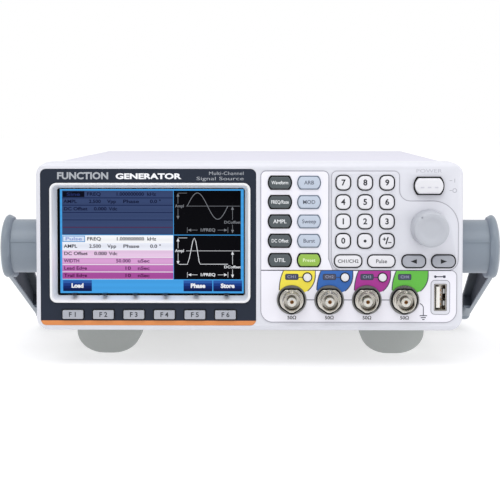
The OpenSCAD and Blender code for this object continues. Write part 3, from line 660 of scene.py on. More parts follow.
class FG_OT_display(bpy.types.Operator):
    """Finish the dark sheet, the silver surround and the display, and draw its picture"""
    bl_idname = "generator.display"
    bl_label = "Display"

    def execute(self, context):
        refined("display_fascia", "dark_fascia", fascia_sheet(), 0.1, 1)
        bm = cad_mesh("display_surround")
        soften(bm, sharp_edges(bm, 25), 0.3, 3)
        piece("silver_surround", bm, silver_paint(), node="display_surround")
        refined("display_module", "display_panel", display_glass(), 0.15, 1)
        self.stripe_and_title()
        self.notches()
        self.picture()
        return {"FINISHED"}

    def stripe_and_title(self):
        low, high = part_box("display_fascia")
        left, right, bottom, top = low.x / MM, high.x / MM, low.z / MM, high.z / MM
        art = Artwork()
        r = 2.9
        tall = 2.4
        turn = math.degrees(math.acos((r - tall) / r))
        stripe = (arc(left + r, bottom + r, r, 270 - turn, 270, 6)
                  + arc(right - r, bottom + r, r, 270, 270 + turn, 6))
        art.shape(stripe, 0, INK, looks().stripe_colour)
        pale = linear("#a4a8b0")
        art.text("FUNCTION", 3.5, left + 8.6, top - 3.7, 0, linear("#a9adb4"), "LEFT", width=26.4,
                 bold=0.035)
        art.text("GENERATOR", 2.8, left + 39.0, top - 3.9, 0, WHITE, "LEFT", width=34.0, bold=0.04)
        art.text("Multi-Channel", 1.8, right - 6.2, top - 2.3, 0, pale, "RIGHT", width=17.8)
        art.text("Signal Source", 1.8, right - 6.2, top - 5.0, 0, pale, "RIGHT", width=24.3)
        art.finish("fascia_print", ink_print_and_shade(), place=on_front())

    def notches(self):
        """Six small half round notches in the surround's inner edge, above the soft keys, drawn as black
        shapes: painted shade inside them.
        """
        art = Artwork()
        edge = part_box("display_surround")[0].z / MM + SURROUND_BAND
        for i in range(6):
            x = middle(f"soft_key_{i + 1}")[0] + 0.4
            art.shape([(px, edge + (py - edge) * 0.6) for px, py in arc(x, edge + 0.15, 1.3, 180, 360, 10)],
                      -6, 0.1, BLACK)
        art.finish("surround_notch_shade", ink_print_and_shade(), place=on_front())

    def picture(self):
        """Two channels' settings on the left, their waves on the right, soft key names below."""
        wide, tall = 95.04, 53.86
        x, y = middle("display_surround")
        depth = face_y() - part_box("display_module")[0].y / MM
        place = on_front() @ Matrix.Translation((x - wide / 2, y - tall / 2, depth)) @ Matrix.Diagonal(
            (1.008, 1.01, 1, 1))
        art = Artwork()

        def panel(x0, y0, x1, y1, code, level=1):
            art.shape([(x0, y0), (x1, y0), (x1, y1), (x0, y1)], 0, INK * level, linear(code))

        panel(0, 0, wide, tall, "#46a4ea")
        first, second = tall - 0.7, 30.0
        panel(1.1, first - 6 * ROW, 58.6, first, "#384870", 2)
        panel(1.1, second - 6 * ROW, 58.6, second, "#fbfcff", 2)
        for top in (first, second):
            panel(58.9, top - 6 * ROW, 93.6, top, "#000001", 2)
        for i, code in enumerate(("#fbfcff", "#eef1fc", "#ebcbea", "#dda4d8", "#c373bb", "#aa4f9f")):
            panel(1.1, second - ROW * (i + 1) + 0.16, 58.6, second - ROW * i - 0.16, code, 2.4)
        for top, ink in ((first, "#0a1030"), (second, "#101228")):
            self.settings(art, top, linear(ink))
        for i in range(1, 6):
            y0 = first - ROW * i
            art.stroke([(1.2, y0), (58.5, y0)], 0.36, INK * 2.5, linear("#101c44" if i < 5 else "#5a2344"))
        panel(1.4, first - 3.4, 12.7, first - 0.4, "#04071a", 2.8)
        panel(1.2, second - 3.5, 12.9, second - 0.2, "#4d94d4", 2.6)
        panel(1.6, second - 3.1, 12.5, second - 0.6, "#dbe8fb", 2.8)
        self.line(art, "Sine", 3.4, first - 2.0, 7.0, linear("#232f60"))
        self.line(art, "Pulse", 2.6, second - 1.9, 8.5, linear("#8fa0dc"))
        for i, (name, value, unit) in enumerate((("WIDTH", "50.000", "uSec"), ("Lead Edge", "10", "nSec"),
                                                 ("Trail Edge", "10", "nSec"))):
            y0 = second - ROW * (i + 3.5)
            ink = linear(("#4b1250", "#4a0f45", "#3f0b3a")[i])
            self.line(art, name, 1.9, y0, (8.0, 11.8, 12.0)[i], ink)
            self.line(art, value, 28.9 if i == 0 else 33.2, y0, 7.5 if i == 0 else 2.8, ink)
            self.line(art, unit, 40.1, y0, 6.1, ink)
        for x0, name, width in ((1.4, "Load", 6.2), (63.9, "Phase", 7.6), (79.3, "Store", 7.2)):
            for step, code in enumerate(("#0b1c4f", "#12286a", "#1c3c86", "#2f5fae")):
                panel(x0, 1.0 + 1.4 * step, x0 + 14.9, 6.7, code, 2 + step * 0.15)
            art.text(name, 2.2, x0 + 7.45, 3.8, INK * 3, WHITE, width=width, bold=0.05)
        self.wave_panel(art, first - 6 * ROW + 0.2, linear("#7d8086"), 6.8)
        self.wave_panel(art, second - 6 * ROW + 0.2, linear("#e9ebf0"), 0)
        art.finish("display_picture", lit_pixels(), place=place)

    def line(self, art, words, x, y, width, ink):
        """A word of the display's own lettering, from its left end."""
        art.text(words, 1.75, x, y, INK * 3, ink, "LEFT", width, bold=0.02)

    def settings(self, art, first, ink):
        """The three rows that both channels share."""
        rows = [first - ROW * (i + 0.5) for i in range(3)]
        for row, words, x, width in (
                (0, "FREQ", 13.9, 7.1), (0, "1.000000000", 28.9, 14.1), (0, "kHz", 45.1, 4.6),
                (1, "AMPL", 1.9, 7.0), (1, "2.500", 15.0, 6.1), (1, "Vpp", 24.5, 4.6),
                (1, "Phase", 32.6, 8.2), (1, "0.0 °", 46.6, 5.6),
                (2, "DC Offset", 1.9, 12.2), (2, "0.000", 17.6, 6.5), (2, "Vdc", 25.3, 4.4)):
            self.line(art, words, x, rows[row], width, ink)

    def wave_panel(self, art, base, ink, swing):
        """A wave with arrows for its height, period and offset; a pulse if it has no swing."""
        z = INK * 3
        zero = base + 14.6
        start, end = 65.9, 86.9
        if swing:
            wave = [(start + (end - start) * i / 48, zero + swing * math.sin(math.tau * i / 48))
                    for i in range(49)]
        else:
            wave = [(61.5, base + 7.6), (start, base + 7.6), (67.0, base + 11), (68.7, base + 19.6),
                    (69.5, base + 21.3), (70.3, base + 19.6), (72.0, base + 9), (72.6, base + 7.7),
                    (end, base + 7.7)]
        art.stroke(wave, 0.32, z, ink)
        art.stroke([(65.3, zero), (93.2, zero)], 0.2, z, ink)
        low = zero - swing if swing else base + 7.6
        self.arrow(art, (61.1, zero + 1.3), (61.1, base + 21.2), z, ink)
        self.arrow(art, (61.1, zero - 1.3), (61.1, low), z, ink)
        art.text("Ampl", 1.5, 61.9, zero, z, ink, width=4.6, bold=0.02)
        art.stroke([(61.2, base + 21.3), (65.8, base + 21.3)], 0.2, z, ink)
        for way, x in ((1, start), (-1, end)):
            self.arrow(art, (76.4 - way * 5.2, base + 2.2), (x + 0.3 * way, base + 2.2), z, ink)
            art.stroke([(x, base + 0.8), (x, base + 3.6)], 0.2, z, ink)
        art.text("1/FREQ", 1.5, 76.4, base + 2.2, z, ink, width=7.6, bold=0.03)
        self.arrow(art, (89.3, base + 7.6), (89.3, zero - 0.2), z, ink)
        self.arrow(art, (89.3, base + 5.0), (89.3, base + 0.6), z, ink)
        art.text("DCoffset", 1.4, 89.2, base + 6.2, z, ink, width=8.6, bold=0.02)

    def arrow(self, art, tail, tip, z, ink):
        (x0, y0), (x1, y1) = tail, tip
        span = math.hypot(x1 - x0, y1 - y0)
        dx, dy = (x1 - x0) / span, (y1 - y0) / span
        art.stroke([tail, (x1 - dx, y1 - dy)], 0.22, z, ink)
        head = [(x1, y1), (x1 - 1.7 * dx - 0.75 * dy, y1 - 1.7 * dy + 0.75 * dx),
                (x1 - 1.7 * dx + 0.75 * dy, y1 - 1.7 * dy - 0.75 * dx)]
        art.shape(head, z - INK / 2, z + INK / 2, ink)


# ---- Keys ----

LEGENDS = {
    "waveform_key": "Waveform", "frequency_key": "FREQ/Rate", "amplitude_key": "AMPL",
    "offset_key": "DC Offset", "utility_key": "UTIL", "arbitrary_key": "ARB", "modulation_key": "MOD",
    "sweep_key": "Sweep", "burst_key": "Burst", "preset_key": "Preset",
    "point_key": "•", "channel_key": "CH1/CH2", "pulse_key": "Pulse",
}
SKIRT = 0.95        # how far a key's hidden flange stands out round its cap
# How much smaller the painted caps are than their openings' nominal size, and how wide the rims of painted
# shade round them
SHRINK = {"digit": 0.25, "point": 0.25, "sign": 0.25, "channel": 0.2, "pulse": 0.2, "left": 0.1,
          "right": 0.1, "soft": 0.15, "output": 0.12}
RIM = {"digit": 0.5, "point": 0.5, "sign": 0.5, "channel": 0.5, "pulse": 0.5, "left": 0.6,
       "right": 0.6, "soft": 0.4, "power": 0.75, "output": 0.45, "arbitrary": 0.5, "modulation": 0.5,
       "sweep": 0.5, "burst": 0.5}


def key_nodes():
    return [n for n in sorted(frame["nodes"]) if n.endswith(("_key", "_button"))
            or n.startswith("soft_key")]


def cap_outline(node, grow):
    """A cap's outline on the front, grown all round."""
    x, y = middle(node)
    wide, _, tall = size(node)
    if node == "power_button":
        wide, tall = wide - 1.8 + 2 * grow, tall - 1.8 + 2 * grow
        return barrel(x, y, wide, tall, 1.9)
    if node.startswith("output"):
        return arc(x, y, wide / 2 - 0.8 + grow, 0, 348.75, 31)
    wide, tall = wide - 2 * SKIRT + 2 * grow, tall - 2 * SKIRT + 2 * grow
    if node.startswith("soft"):
        return centred(x, y, wide, tall, 0.6 + grow)
    if node.startswith("digit") or node in ("point_key", "sign_key"):
        return centred(x, y, wide, tall, 2.6 + grow)
    if node in ("channel_key", "pulse_key", "left_key", "right_key"):
        return centred(x, y, wide, tall, 2.7 + grow)
    return barrel(x, y, wide, tall, 1.5)


def key_material(node):
    slot = SLOTS[node]
    if slot == "key_silver":
        return key_silver()
    rubbers = {"key_dark": ("dark", "#4a5256"), "key_light": ("light", "#bac4d4"),
               "key_green": ("green", "#8fb648")}
    return key_rubber(*rubbers[slot]) if slot in rubbers else key_plastic()


class FG_OT_keys(bpy.types.Operator):
    """Round the keys, print their legends and ring each with painted shade in the gap round it"""
    bl_idname = "generator.keys"
    bl_label = "Keys"

    def execute(self, context):
        for node in key_nodes():
            self.cap(node)
            self.legend(node)
        self.rims()
        self.power_marks()
        return {"FINISHED"}

    def cap(self, node):
        bm = cad_mesh(node)
        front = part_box(node)[0].y / MM
        x, z = middle(node)
        shrink = SHRINK.get(node.split("_")[0], 0)
        wide, _, tall = size(node)
        outside = [v for v in bm.verts if v.co.y < face_y() - OVERLAY_Z]
        bmesh.ops.scale(bm, vec=(1 - 2 * shrink / wide, 1, 1 - 2 * shrink / tall), verts=outside,
                        space=Matrix.Translation((-x, 0, -z)))
        rim = [e for e in sharp_edges(bm, 20) if all(abs(v.co.y - front) < 0.01 for v in e.verts)]
        small = node.startswith(("soft", "output"))
        share = 0.6 if small else 1.4 if node == "power_button" else 1
        soften(bm, rim, looks().key_radius / MM * share, 4)
        piece(node + "_cap", bm, key_material(node), node, node)

    def legend(self, node):
        x, y = middle(node)
        top = face_y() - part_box(node)[0].y / MM
        art = Artwork()
        dark = SLOTS[node] == "key_dark"
        ink = linear("#e9ecef") if dark else linear("#23252c")
        if node.startswith("soft_key"):
            art.text("F " + node[-1], 2.5, x, y, top, linear("#2c2e36"), bold=0.02)
        elif node.startswith("digit"):
            art.text(node[6], 3.0, x, y, top, ink, bold=0.03)
        elif node in ("left_key", "right_key"):
            way = -1 if node == "left_key" else 1
            art.shape([(x - 1.5 * way, y - 1.2), (x + 1.7 * way, y), (x - 1.5 * way, y + 1.2)], top, top + INK,
                      linear("#1b1c20"))
        elif node == "point_key":
            art.shape(arc(x, y, 0.75, 0, 337.5, 15), top, top + INK, ink)
        elif node == "power_button":
            for i in (-1, 0, 1):
                art.shape(centred(x + i * 3.6, y - 0.7, 1.9, 0.7, 0.35), top, top + 0.1, linear("#cdcdd6"))
        elif node.startswith("output"):
            art.bm.free()
            return
        elif node == "sign_key":
            for mark, dx, dy, tall in (("+", -1.35, 0.85, 2.2), ("/", 0, 0, 3.4), ("−", 1.45, -0.9, 2.2)):
                art.text(mark, tall, x + dx, y + dy, top, ink, bold=0.04)
        else:
            word = LEGENDS[node]
            wide = {"Waveform": 8.6, "FREQ/Rate": 9.0, "DC Offset": 8.6, "CH1/CH2": 10.6}.get(word)
            tall = 1.8 if len(word) > 5 else 2.0
            soft = {"key_light": "#565b6b", "key_green": "#e4f2c4"}.get(SLOTS[node])
            art.text(word, tall, x, y, top, linear(soft) if soft else ink, width=wide, bold=0.012)
        art.finish(node + "_legend", ink_print_and_shade(), body=node, place=on_front())

    def rims(self):
        """Painted shade in the gap round every key: black, but blue grey round the light ones."""
        dark, light = bmesh.new(), bmesh.new()
        for node in key_nodes():
            high = 0.06 if node.startswith("soft") else OVERLAY_Z + 0.22
            grow = RIM.get(node.split("_")[0], 0.66)
            band(light if SLOTS[node] == "key_light" else dark, cap_outline(node, grow),
                 cap_outline(node, 0.1), -1.2, high)
        piece("key_rims", dark, black_rubber_and_gap_shade(), place=on_front())
        piece("light_key_rims", light, light_key_gap_shade(), place=on_front())

    def power_marks(self):
        art = Artwork()
        x, y = middle("power_button")
        pale = linear("#b4b4be")
        art.text("POWER", 1.9, x, y + 7.6, 0, pale, width=13.0, bold=-0.01)
        art.stroke([(x + 13.3, y + 1.7), (x + 13.3, y + 3.7)], 0.35, INK / 2, pale)
        art.stroke([(x + 10.6, y + 2.7), (x + 12.0, y + 2.7)], 0.35, INK / 2, pale)
        art.stroke(arc(x + 13.3, y - 2.4, 1.0, 0, 342, 19), 0.35, INK / 2, pale, closed=True)
        art.stroke([(x + 10.6, y - 2.4), (x + 12.0, y - 2.4)], 0.35, INK / 2, pale)
        art.finish("power_marks", ink_print_and_shade(), place=on_front())


# ---- Dial ----

class FG_OT_dial(bpy.types.Operator):
    """Turn the dial: a dished face with a finger dimple and a small mark"""
    bl_idname = "generator.dial"
    bl_label = "Dial"

    def execute(self, context):
        x, y = middle("dial")
        radius = size("dial").x / 2
        out = face_y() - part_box("dial")[0].y / MM
        skirt = arc(radius - 0.5, 1.4, 0.5, -90, 0, 4)
        shoulder = arc(radius - 2.0, out - 1.5, 1.5, 0, 90, 8)
        ring = radius - 2.7
        dish = [(ring * (1 - i / 12), out - 0.9 * (1 - math.exp(-((i / 3.2) ** 2)))) for i in range(13)]
        profile = [(3, 0.9)] + skirt + shoulder + dish + [(0, -5.8), (3, -5.8)]
        bm = bmesh.new()
        lathe(bm, profile, x, y, 96)
        piece("dial_knob", bm, dial_plastic(), "dial", "dial", place=on_front(), crease=40)
        dot = Artwork()
        dot.shape(arc(x - 4.9, y + 6.2, 0.5, 0, 337.5, 15), out - 0.06, out + 0.0, linear("#8f929c"))
        dot.finish("dial_mark", ink_print_and_shade(), body="dial", place=on_front())
        return {"FINISHED"}


# ---- Sockets ----

def socket_places():
    """X, Y and matrix of every coaxial socket, front then rear."""
    shells = frame["record"]["mounts"]
    return [(m["pos_m"][0] / MM, m["pos_m"][2] / MM, m["name"].startswith("front"))
            for m in shells if "coaxial" in m["name"]]


class FG_OT_coaxial_sockets(bpy.types.Operator):
    """Build the bayonet sockets: washer, black bushing, shell with studs, insulator and contact"""
    bl_idname = "generator.coaxial_sockets"
    bl_label = "Coaxial sockets"

    def execute(self, context):
        reach = face_y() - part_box("socket_shells")[0].y / MM
        rear_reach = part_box("socket_shells")[1].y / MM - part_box("rear_panel")[1].y / MM
        parts = {name: bmesh.new() for name in ("shells", "washers", "bushings", "insulators", "contacts")}
        for x, y, front in socket_places():
            built = {name: bmesh.new() for name in parts}
            self.build(built, reach if front else rear_reach)
            place = (on_front() if front else on_rear()) @ Matrix.Translation((x if front else -x, y, 0))
            for name, bm in built.items():
                bm.transform(place)
                mesh = bpy.data.meshes.new("part")
                bm.to_mesh(mesh)
                bm.free()
                parts[name].from_mesh(mesh)
                bpy.data.meshes.remove(mesh)
        shells = piece("coaxial_shells", parts["shells"], nickel(), node="socket_shells")
        piece("coaxial_washers", parts["washers"], gunmetal())
        piece("coaxial_bushings", parts["bushings"], black_rubber_and_gap_shade())
        piece("coaxial_insulators", parts["insulators"], white_resin(), node="socket_cores")
        piece("coaxial_contacts", parts["contacts"], brass())
        return {"FINISHED"}

    def build(self, built, reach):
        base = OVERLAY_Z
        washer = [(6.2, base), (7.45, base), (7.7, base + 0.25), (7.55, base + 0.85), (6.2, base + 0.95)]
        lathe(built["washers"], washer, steps=64)
        rim = self.house(7.0)
        edges = prism(built["bushings"], rim, base - 2, base + 1.75)
        soften(built["bushings"], edges, 0.25, 2)
        edges = prism(built["shells"], self.house(6.15), base, base + 2.3)
        soften(built["shells"], edges, 0.3, 3)
        wall, bore = 4.83, 4.05
        barrel_profile = [
            (5.5, base + 2.0), (5.5, base + 3.2), (5.25, base + 3.45), (wall, base + 3.5),
            (wall, reach - 4.4), (wall - 0.2, reach - 4.3), (wall - 0.2, reach - 4.15),
            (wall, reach - 4.05), (wall, reach - 0.35), (wall - 0.2, reach - 0.08), (wall - 0.45, reach),
            (bore + 0.15, reach - 0.05), (bore, reach - 0.3), (bore, 3.2), (2.4, 3.2), (2.4, -12),
            (5.5, -12)]
        lathe(built["shells"], barrel_profile, steps=64)
        for side in (-1, 1):
            stud = bmesh.ops.create_cone(
                built["shells"], cap_ends=True, segments=20, radius1=1.0, radius2=0.9, depth=1.0,
                matrix=Matrix.Translation((0, side * 4.95, reach - 5.4)) @ Matrix.Rotation(
                    -side * math.pi / 2, 4, "X"))["verts"]
            corners = [e for v in stud for e in v.link_edges if e.calc_face_angle(0) > 1]
            soften(built["shells"], corners, 0.12, 2)
        lathe(built["insulators"], [(0.95, 2.9), (2.42, 2.9), (2.42, reach - 2.6), (2.25, reach - 2.4),
                                    (1.15, reach - 2.4), (0.95, reach - 2.7)], steps=40)
        lathe(built["contacts"], [(0.5, 2.9), (0.95, 2.9), (0.95, reach - 2.75), (0.7, reach - 2.55),
                                  (0.5, reach - 2.7)], steps=24)
        lathe(built["contacts"], [(0.0, 2.9), (0.5, 2.9), (0.5, reach - 5.5), (0.0, reach - 5.5)], steps=16)
        lathe(built["insulators"], [(0.0, -15.5), (2.3, -15.5), (2.3, 2.9), (0.0, 2.9)], steps=32)

    def house(self, radius):
        """Round, with a flat on top and two flats that meet in a blunt point below."""
        top = math.degrees(math.acos(0.86))
        flat = arc(0, 0, radius, 90 - top, -38, 14)
        point = [(0.9, -radius * 1.06), (-0.9, -radius * 1.06)]
        return flat[::-1][::-1] + point + [(-x, y) for x, y in flat[::-1]]


class FG_OT_data_sockets(bpy.types.Operator):
    """Build the upright data socket and finish the rear ones"""
    bl_idname = "generator.data_sockets"
    bl_label = "Data sockets"

    def execute(self, context):
        refined("data_sockets", "data_socket_shells", nickel(), 0.12, 2)
        low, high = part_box("panel_overlay")
        x, y = high.x / MM - 8.4, low.z / MM + 13.0
        top = OVERLAY_Z * 2
        art = bmesh.new()
        prism(art, centred(x - 1.05, y, 1.75, 10.9, 0.25, 3), -12, -0.25)
        piece("data_tongue", art, white_resin(), place=on_front())
        gasket = Artwork()
        gasket.stroke(centred(x, y, 6.4, 13.9, 0.5), 0.3, top - 0.2, BLACK, closed=True)
        gasket.finish("data_socket_gasket", black_rubber_and_gap_shade(), place=on_front())
        contacts = bmesh.new()
        for i in range(4):
            prism(contacts, centred(x + 0.1, y - 3.6 + i * 2.4, 0.5, 1.1, 0.1, 2), -11, -0.9)
        piece("data_contacts", contacts, brass(), place=on_front())
        springs = bmesh.new()
        for side in (-1, 1):
            prism(springs, centred(x + 1.9, y + side * 3.1, 0.9, 2.4, 0.3, 3), -6, -0.8)
        piece("data_springs", springs, steel(), place=on_front())
        outline = Artwork()
        outline.stroke(centred(x, y, 9.7, 17.7, 2.0), 0.28, OVERLAY_Z + INK / 2, PRINT_GREY, closed=True)
        outline.finish("data_socket_outline", ink_print_and_shade(), place=on_front())
        return {"FINISHED"}


# ---- Case ----

class FG_OT_case(bpy.types.Operator):
    """Finish the cover, tray, rear panel, feet and screws"""
    bl_idname = "generator.case"
    bl_label = "Case"

    def execute(self, context):
        radius = looks().edge_radius / MM
        refined("top_cover", "cover_sheet", cover_paint(), 0.2, 2)
        refined("rear_panel", "rear_sheet", cover_paint(), 0.15, 1)
        refined("chassis_tray", "tray_sheet", steel(), 0.15, 1)
        refined("feet", "moulded_feet", foot_plastic(), 2 * radius, 4, angle=60)
        refined("screws", "pan_head_screws", steel(), 0.08, 1)
        return {"FINISHED"}


class FG_OT_inside(bpy.types.Operator):
    """Finish the boards, fan and mains inlet"""
    bl_idname = "generator.inside"
    bl_label = "Inside"

    def execute(self, context):
        for node in ("key_board", "main_board", "power_supply"):
            refined(node, node + "_assembly", solder_mask(), 0.1, 1)
        refined("fan_frame", "fan_housing", black_plastic(), 0.2, 2)
        refined("fan_rotor", "fan_blades", black_plastic(), 0.15, 1, body="fan_rotor")
        refined("mains_inlet", "inlet_body", black_plastic(), 0.3, 3)
        return {"FINISHED"}


# ---- Handle ----

ARM_FALL = 3.5      # how far the disc's outer face falls away towards its edge
ARM_LIP = 2.7       # how far the disc's inner edge is rounded back
LIP_WIDTH = 2.4     # width of that rounding
BORE_DEPTH = 2.1    # just past the depth of the recess that holds the hub
ARM_SKIN = 2.1      # depth of the arm's rounded outer edge in the CAD
ARM_GRID = 1.5      # size of the squares that the arm is cut into
HUB_FULLER = 1.03
CAP_HEIGHT = 1.2    # height of the caps on the pins' ends in the CAD


def swing_axis():
    """Where the handle's axis crosses the side view, in millimetres."""
    joint = next(j for j in frame["record"]["behaviour"]["joints"] if j["name"] == "handle_swing")
    return Vector(joint["pos_m"]).yz / MM


def blend(near, far, share):
    return near + (far - near) * share


class FG_OT_handle(bpy.types.Operator):
    """Crown the arms, and finish the grip and the hubs that the arms turn on"""
    bl_idname = "generator.handle"
    bl_label = "Handle"

    def execute(self, context):
        radius = looks().edge_radius / MM
        for side in ("left", "right"):
            self.arm("handle_arm_" + side)
        # The grip bar gets the nearly black nylon: painted shade, as it lies in shadow.
        refined("handle_grip", "grip_bar", painted_shade_nylon(), 2 * radius, 3, body="handle", angle=60)
        self.hubs()
        return {"FINISHED"}

    def hubs(self):
        """The hubs a little fuller than their bores, with low caps on the pins' ends."""
        bm = cad_mesh("handle_hubs")
        soften(bm, sharp_edges(bm, 60), 0.4, 3)
        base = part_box("handle_hubs")[1].x / MM - CAP_HEIGHT
        pivot = swing_axis()
        for vert in bm.verts:
            offset = vert.co.yz - pivot
            if offset.length > 10:
                vert.co.y, vert.co.z = pivot + offset * HUB_FULLER
            elif abs(vert.co.x) > base:
                vert.co.x = math.copysign(base + (abs(vert.co.x) - base) * 0.4, vert.co.x)
        piece("pivot_hubs", bm, hub_plastic(), node="handle_hubs")

    def arm(self, node):
        """The arm, cut into fine squares, with its flat outer face raised to a smooth crown."""
        bm = cad_mesh(node)
        low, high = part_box(node)
        inner, outer = sorted((abs(low.x) / MM, abs(high.x) / MM))
        pivot = swing_axis()
        disc = pivot.x - low.y / MM
        bore = disc - LIP_WIDTH
        rim = self.top_edge(bm, outer, pivot)
        for axis, normal in (("y", Vector((0, 1, 0))), ("z", Vector((0, 0, 1)))):
            first, last = getattr(low, axis) / MM, getattr(high, axis) / MM
            steps = int((last - first) / ARM_GRID)
            for i in range(1, steps):
                everything = list(bm.verts) + list(bm.edges) + list(bm.faces)
                bmesh.ops.bisect_plane(bm, geom=everything, dist=0.001, plane_no=normal,
                                       plane_co=normal * (first + (last - first) * i / steps))
        for vert in bm.verts:
            offset = vert.co.yz - pivot
            reach = offset.length
            along = offset.x * 0.9 - offset.y * 0.44
            away = min(1, max(0, (along + 8) / 20))
            depth = self.depth(vert.co.yz, rim)
            crown = outer - rounding(depth, blend(disc, 3.5, away), blend(ARM_FALL, 2.2, away))
            lip = rounding(depth, LIP_WIDTH, blend(ARM_LIP, 1.2, away))
            seat = inner + (BORE_DEPTH if reach < bore else lip)
            c = abs(vert.co.x)
            if c > outer - ARM_SKIN:
                c = crown
            elif c > seat:
                c = seat + (c - seat) * (crown - seat) / (outer - seat)
            elif c < inner + 0.05 and reach >= bore:
                c = seat
            vert.co.x = math.copysign(c, vert.co.x)
        bmesh.ops.remove_doubles(bm, verts=bm.verts, dist=0.02)
        made = piece(node + "_crowned", bm, [handle_plastic(), painted_shade_nylon()], "handle", node, crease=40)
        # Faces deep in the arm's channel that face inwards get the nearly black nylon: painted shade where
        # little light reaches.
        for face in made.data.polygons:
            centre = face.center.yz / MM
            reach = (centre - pivot).length
            deep = self.depth(centre, rim) > 2.3 and reach > disc - 1.5
            face.material_index = int(deep and face.normal.x * face.center.x <= 0.0001)
        made.data.update()

    def top_edge(self, bm, outer, pivot):
        """The outline of the arm's flat outer face, as pairs of points."""
        flat = [f for f in bm.faces if all(abs(abs(v.co.x) - outer) < 0.01 for v in f.verts)]
        edges = {e for f in flat for e in f.edges if sum(n in flat for n in e.link_faces) == 1}
        pairs = [tuple(v.co.yz for v in e.verts) for e in edges]
        return [pair for pair in pairs if (pair[0] - pivot).length > 8]

    def depth(self, point, rim):
        """How far inside the arm's edge a point is."""
        near = min((closest_on(point, a, b) - point).length for a, b in rim)
        return max(0, ARM_SKIN - 0.1 + (near if self.inside(point, rim) else -near))

    def inside(self, point, rim):
        """Whether a point is within the outline."""
        hits = 0
        for a, b in rim:
            if (a.y > point.y) != (b.y > point.y):
                hits += point.x < a.x + (b.x - a.x) * (point.y - a.y) / (b.y - a.y)
        return hits % 2 == 1


def rounding(depth, width, fall):
    """How far a rounded edge has fallen, at a depth inside it."""
    short = 1 - min(1, depth / width)
    return fall * (1 - math.sqrt(max(0.0, 1 - short * short)))


def closest_on(point, a, b):
    """The nearest point to it on a straight stretch."""
    along = (point - a).dot(b - a) / max((b - a).length_squared, 1e-9)
    return a + (b - a) * min(1, max(0, along))


# ---- Stage ----

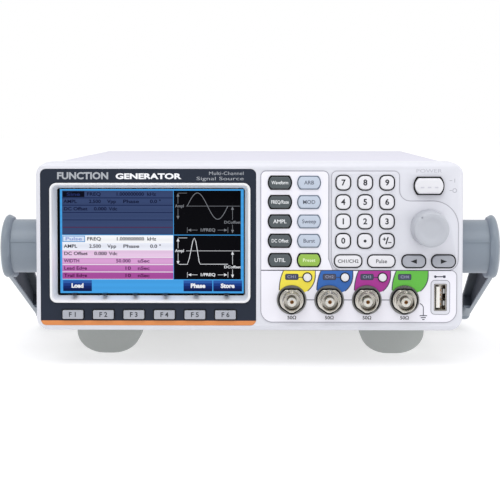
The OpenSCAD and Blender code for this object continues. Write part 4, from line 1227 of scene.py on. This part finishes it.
class FG_OT_stage(bpy.types.Operator):
    """Set the pale floor, the soft light and the camera"""
    bl_idname = "generator.stage"
    bl_label = "Stage"

    def execute(self, context):
        scene = context.scene
        stage = scene.generator_stage
        scene.view_settings.view_transform = "Standard"
        self.floor()
        self.room(stage.room_light)
        power = stage.key_power
        self.softbox("overhead", (-0.15, -0.85, 1.15), 1.3, 0.8, power)
        self.softbox("left_fill", (-1.2, -0.8, 0.55), 0.7, 0.9, power * 0.06)
        self.softbox("right_fill", (1.2, -0.8, 0.55), 0.7, 0.9, power * 0.36)
        data = bpy.data.cameras.new("camera")
        camera = bpy.data.objects.new("camera", data)
        scene.collection.objects.link(camera)
        data.sensor_width = 36
        data.lens = 102.63
        data.shift_y = -0.13
        camera.location = (stage.eye_side, face_y() * MM - stage.eye_distance, stage.eye_height)
        camera.rotation_euler = (math.radians(90 - 2.695), 0, math.radians(0.813))
        scene.camera = camera
        return {"FINISHED"}

    def room(self, strength):
        """White behind the object, dimmer where the viewer stands, so that metal has something to show."""
        world = bpy.data.worlds.new("studio")
        world.use_nodes = True
        tree = world.node_tree
        tree.nodes.clear()
        way = add(tree, "TexCoord").outputs["Generated"]
        parts = add(tree, "SeparateXYZ", links={"Vector": way})
        level = add(tree, "MapRange",
                    {"From Min": -0.9, "From Max": 0.1, "To Min": strength, "To Max": 1.0},
                    {"Value": parts.outputs["Y"]}, interpolation_type="SMOOTHSTEP").outputs["Result"]
        shine = add(tree, "Background", {"Color": (1, 1, 1, 1)}, {"Strength": level})
        add(tree, "OutputWorld", links={"Surface": shine.outputs["Background"]})
        bpy.context.scene.world = world

    def floor(self):
        """A table of milky sheet lit from below, fading towards the viewer."""
        bm = bmesh.new()
        bmesh.ops.create_grid(bm, x_segments=4, y_segments=4, size=8.0)
        mesh = bpy.data.meshes.new("floor")
        bm.to_mesh(mesh)
        bm.free()
        made = bpy.data.objects.new("floor", mesh)
        bpy.context.scene.collection.objects.link(made)
        sheet = bpy.data.materials.new("milky_sheet")
        sheet.use_nodes = True
        tree = sheet.node_tree
        tree.nodes.clear()
        place = add(tree, "TexCoord").outputs["Object"]
        parts = add(tree, "SeparateXYZ", links={"Vector": place})
        glow = add(tree, "MapRange", {"From Min": -1.3, "From Max": -0.4, "To Min": 0.12, "To Max": 0.6},
                   {"Value": parts.outputs["Y"]}, interpolation_type="SMOOTHSTEP").outputs["Result"]
        body = add(tree, "BsdfPrincipled", {"Base Color": (0.44, 0.44, 0.45, 1), "Roughness": 0.9,
                                            "Emission Color": (1, 1, 1, 1)}, {"Emission Strength": glow})
        add(tree, "OutputMaterial", links={"Surface": body.outputs["BSDF"]})
        mesh.materials.append(sheet)

    def softbox(self, name, place, width, height, power):
        data = bpy.data.lights.new(name, "AREA")
        data.shape = "RECTANGLE"
        data.size, data.size_y = width, height
        data.energy = power
        made = bpy.data.objects.new(name, data)
        bpy.context.scene.collection.objects.link(made)
        made.location = place
        low, high = CAD_BOX
        made.rotation_euler = ((low + high) / 2 - Vector(place)).to_track_quat("-Z", "Y").to_euler()


class FG_PT_panel(bpy.types.Panel):
    """Sidebar panel with one button for each group of pieces"""
    bl_idname = "FG_PT_panel"
    bl_label = "Function generator"
    bl_space_type = "VIEW_3D"
    bl_region_type = "UI"
    bl_category = "Generator"

    def draw(self, context):
        for operator in OPERATORS:
            self.layout.operator(operator.bl_idname)
        for group in (context.scene.generator_looks, context.scene.generator_stage):
            for name in group.__annotations__:
                self.layout.prop(group, name)


OPERATORS = (FG_OT_front, FG_OT_socket_print, FG_OT_display, FG_OT_keys, FG_OT_dial, FG_OT_coaxial_sockets,
             FG_OT_data_sockets, FG_OT_case, FG_OT_inside, FG_OT_handle, FG_OT_stage)
CLASSES = (GeneratorLooks, GeneratorStage, *OPERATORS, FG_PT_panel)


def register():
    for cls in CLASSES:
        bpy.utils.register_class(cls)
    bpy.types.Scene.generator_looks = PointerProperty(type=GeneratorLooks)
    bpy.types.Scene.generator_stage = PointerProperty(type=GeneratorStage)


def unregister():
    del bpy.types.Scene.generator_stage
    del bpy.types.Scene.generator_looks
    for cls in reversed(CLASSES):
        bpy.utils.unregister_class(cls)


def main():
    register()
    for operator in OPERATORS:
        group, name = operator.bl_idname.split(".")
        getattr(getattr(bpy.ops, group), name)()


if __name__ == "__main__":
    main()
